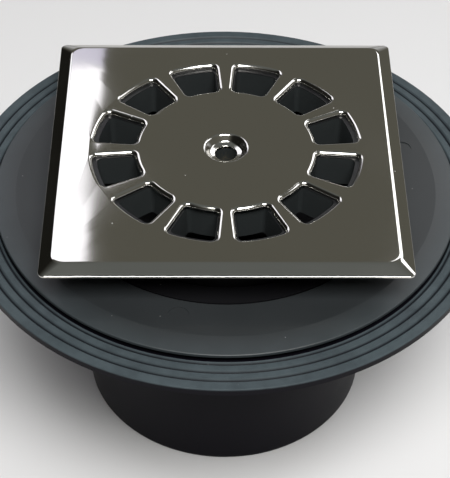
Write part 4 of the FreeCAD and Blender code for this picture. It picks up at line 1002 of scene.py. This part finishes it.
class WASTE_OT_stage(bpy.types.Operator):
    """Lay the floor, hang the lights and set the camera."""

    bl_idname = "shower_waste.stage"
    bl_label = "Stage"

    def execute(self, context):
        stage = context.scene.waste_stage
        self.lay_floor(stage)
        self.light_room(context.scene, stage)
        middle = (0, 0, CAD_BOX[1].z)
        daylight = (0.93, 0.92, 1.0)
        white = (0.97, 0.97, 1.0)
        add_soft_light(stage, "key", (1.0, 0.99, 0.97), middle)
        add_soft_light(stage, "window", daylight)
        add_soft_light(stage, "pane", daylight, turn=stage.pane_turn)
        add_soft_light(stage, "sill", (0.80, 0.78, 1.0), turn=stage.pane_turn)
        add_soft_light(stage, "side", white)
        add_soft_light(stage, "corner", white, middle)
        self.set_camera(context.scene, stage)
        context.scene.view_settings.view_transform = "Standard"
        return {"FINISHED"}

    def lay_floor(self, stage):
        """A pale floor, just clear of the object's underside."""
        mesh = bmesh.new()
        bmesh.ops.create_grid(mesh, x_segments=8, y_segments=8, size=stage.floor_size / 2)
        data = bpy.data.meshes.new("floor")
        mesh.to_mesh(data)
        mesh.free()
        floor = bpy.data.objects.new("floor", data)
        bpy.context.scene.collection.objects.link(floor)
        floor.location.z = CAD_BOX[0].z - 0.05 * MM
        material, tree, shader = new_material("Pale Floor")
        shader.inputs["Roughness"].default_value = 0.9
        shader.inputs["Specular IOR Level"].default_value = 0.1
        place = tree.nodes.new("ShaderNodeTexCoord")
        cloud = add_node(tree, "ShaderNodeTexNoise", Scale=3.0, Detail=3.0)
        tone = add_mix(tree, scaled(stage.floor_colour, 0.98), scaled(stage.floor_colour, 1.02))
        tree.links.new(place.outputs["Object"], cloud.inputs["Vector"])
        tree.links.new(cloud.outputs["Fac"], tone.inputs["Factor"])
        tree.links.new(tone.outputs["Result"], shader.inputs["Base Color"])
        data.materials.append(material)

    def light_room(self, scene, stage):
        """The room's light, in bands from the horizon up, with a dark screen at the left."""
        world = bpy.data.worlds.new("Studio Room")
        world.use_nodes = True
        tree = world.node_tree
        place = tree.nodes.new("ShaderNodeTexCoord")
        parts = tree.nodes.new("ShaderNodeSeparateXYZ")
        ramp = tree.nodes.new("ShaderNodeValToRGB")
        bands = ((0.0, stage.horizon), (0.1, stage.horizon), (0.25, stage.room),
                 (0.74, stage.room), (0.95, stage.ceiling))
        elements = ramp.color_ramp.elements
        while len(elements) < len(bands):
            elements.new(0.5)
        for element, (position, colour) in zip(elements, bands):
            element.position = position
            element.color = (*colour, 1)
        screen = add_node(tree, "ShaderNodeMapRange", From_Min=-0.5, From_Max=-0.2, To_Min=0.1)
        background = tree.nodes["Background"]
        tree.links.new(place.outputs["Generated"], parts.inputs["Vector"])
        tree.links.new(parts.outputs["Z"], ramp.inputs["Fac"])
        tree.links.new(parts.outputs["X"], screen.inputs["Value"])
        tree.links.new(screen.outputs["Result"], background.inputs["Strength"])
        tree.links.new(ramp.outputs["Color"], background.inputs["Color"])
        scene.world = world

    def set_camera(self, scene, stage):
        """The photo's camera."""
        data = bpy.data.cameras.new("camera")
        data.lens = stage.lens
        data.sensor_width = 36.0
        camera = bpy.data.objects.new("camera", data)
        scene.collection.objects.link(camera)
        look = Euler((math.pi / 2 - stage.pitch, 0, -stage.yaw)).to_matrix().to_4x4()
        back = look @ Vector((0, 0, stage.distance))
        place = Matrix.Translation(Vector(stage.aim) + back)
        camera.matrix_world = place @ look @ Matrix.Rotation(stage.roll, 4, "Z")
        scene.camera = camera


class WASTE_PT_pieces(bpy.types.Panel):
    """Build steps of the shower tray waste."""

    bl_label = "Shower Waste"
    bl_idname = "WASTE_PT_pieces"
    bl_space_type = "VIEW_3D"
    bl_region_type = "UI"
    bl_category = "Shower Waste"

    def draw(self, context):
        for step in STEPS:
            self.layout.operator(step.bl_idname)


GROUPS = (GrateSizes, BushSizes, Finishes, ToneBands, StageSettings)
STEPS = (WASTE_OT_pressed_grate, WASTE_OT_threaded_bush, WASTE_OT_black_mouldings,
         WASTE_OT_clamp_ring, WASTE_OT_waste_body, WASTE_OT_trap, WASTE_OT_seals, WASTE_OT_stage)


def register():
    """Register the classes and the scene's settings."""
    for kind in (*GROUPS, *STEPS, WASTE_PT_pieces):
        bpy.utils.register_class(kind)
    bpy.types.Scene.waste_grate = bpy.props.PointerProperty(type=GrateSizes)
    bpy.types.Scene.waste_bush = bpy.props.PointerProperty(type=BushSizes)
    bpy.types.Scene.waste_finishes = bpy.props.PointerProperty(type=Finishes)
    bpy.types.Scene.waste_bands = bpy.props.PointerProperty(type=ToneBands)
    bpy.types.Scene.waste_stage = bpy.props.PointerProperty(type=StageSettings)


def unregister():
    """Undo register."""
    for name in ("waste_grate", "waste_bush", "waste_finishes", "waste_bands", "waste_stage"):
        delattr(bpy.types.Scene, name)
    for kind in reversed((*GROUPS, *STEPS, WASTE_PT_pieces)):
        bpy.utils.unregister_class(kind)


def main():
    """Build every piece and the stage."""
    register()
    bpy.ops.shower_waste.pressed_grate()
    bpy.ops.shower_waste.threaded_bush()
    bpy.ops.shower_waste.black_mouldings()
    bpy.ops.shower_waste.clamp_ring()
    bpy.ops.shower_waste.waste_body()
    bpy.ops.shower_waste.trap()
    bpy.ops.shower_waste.seals()
    bpy.ops.shower_waste.stage()


if __name__ == "__main__":
    main()
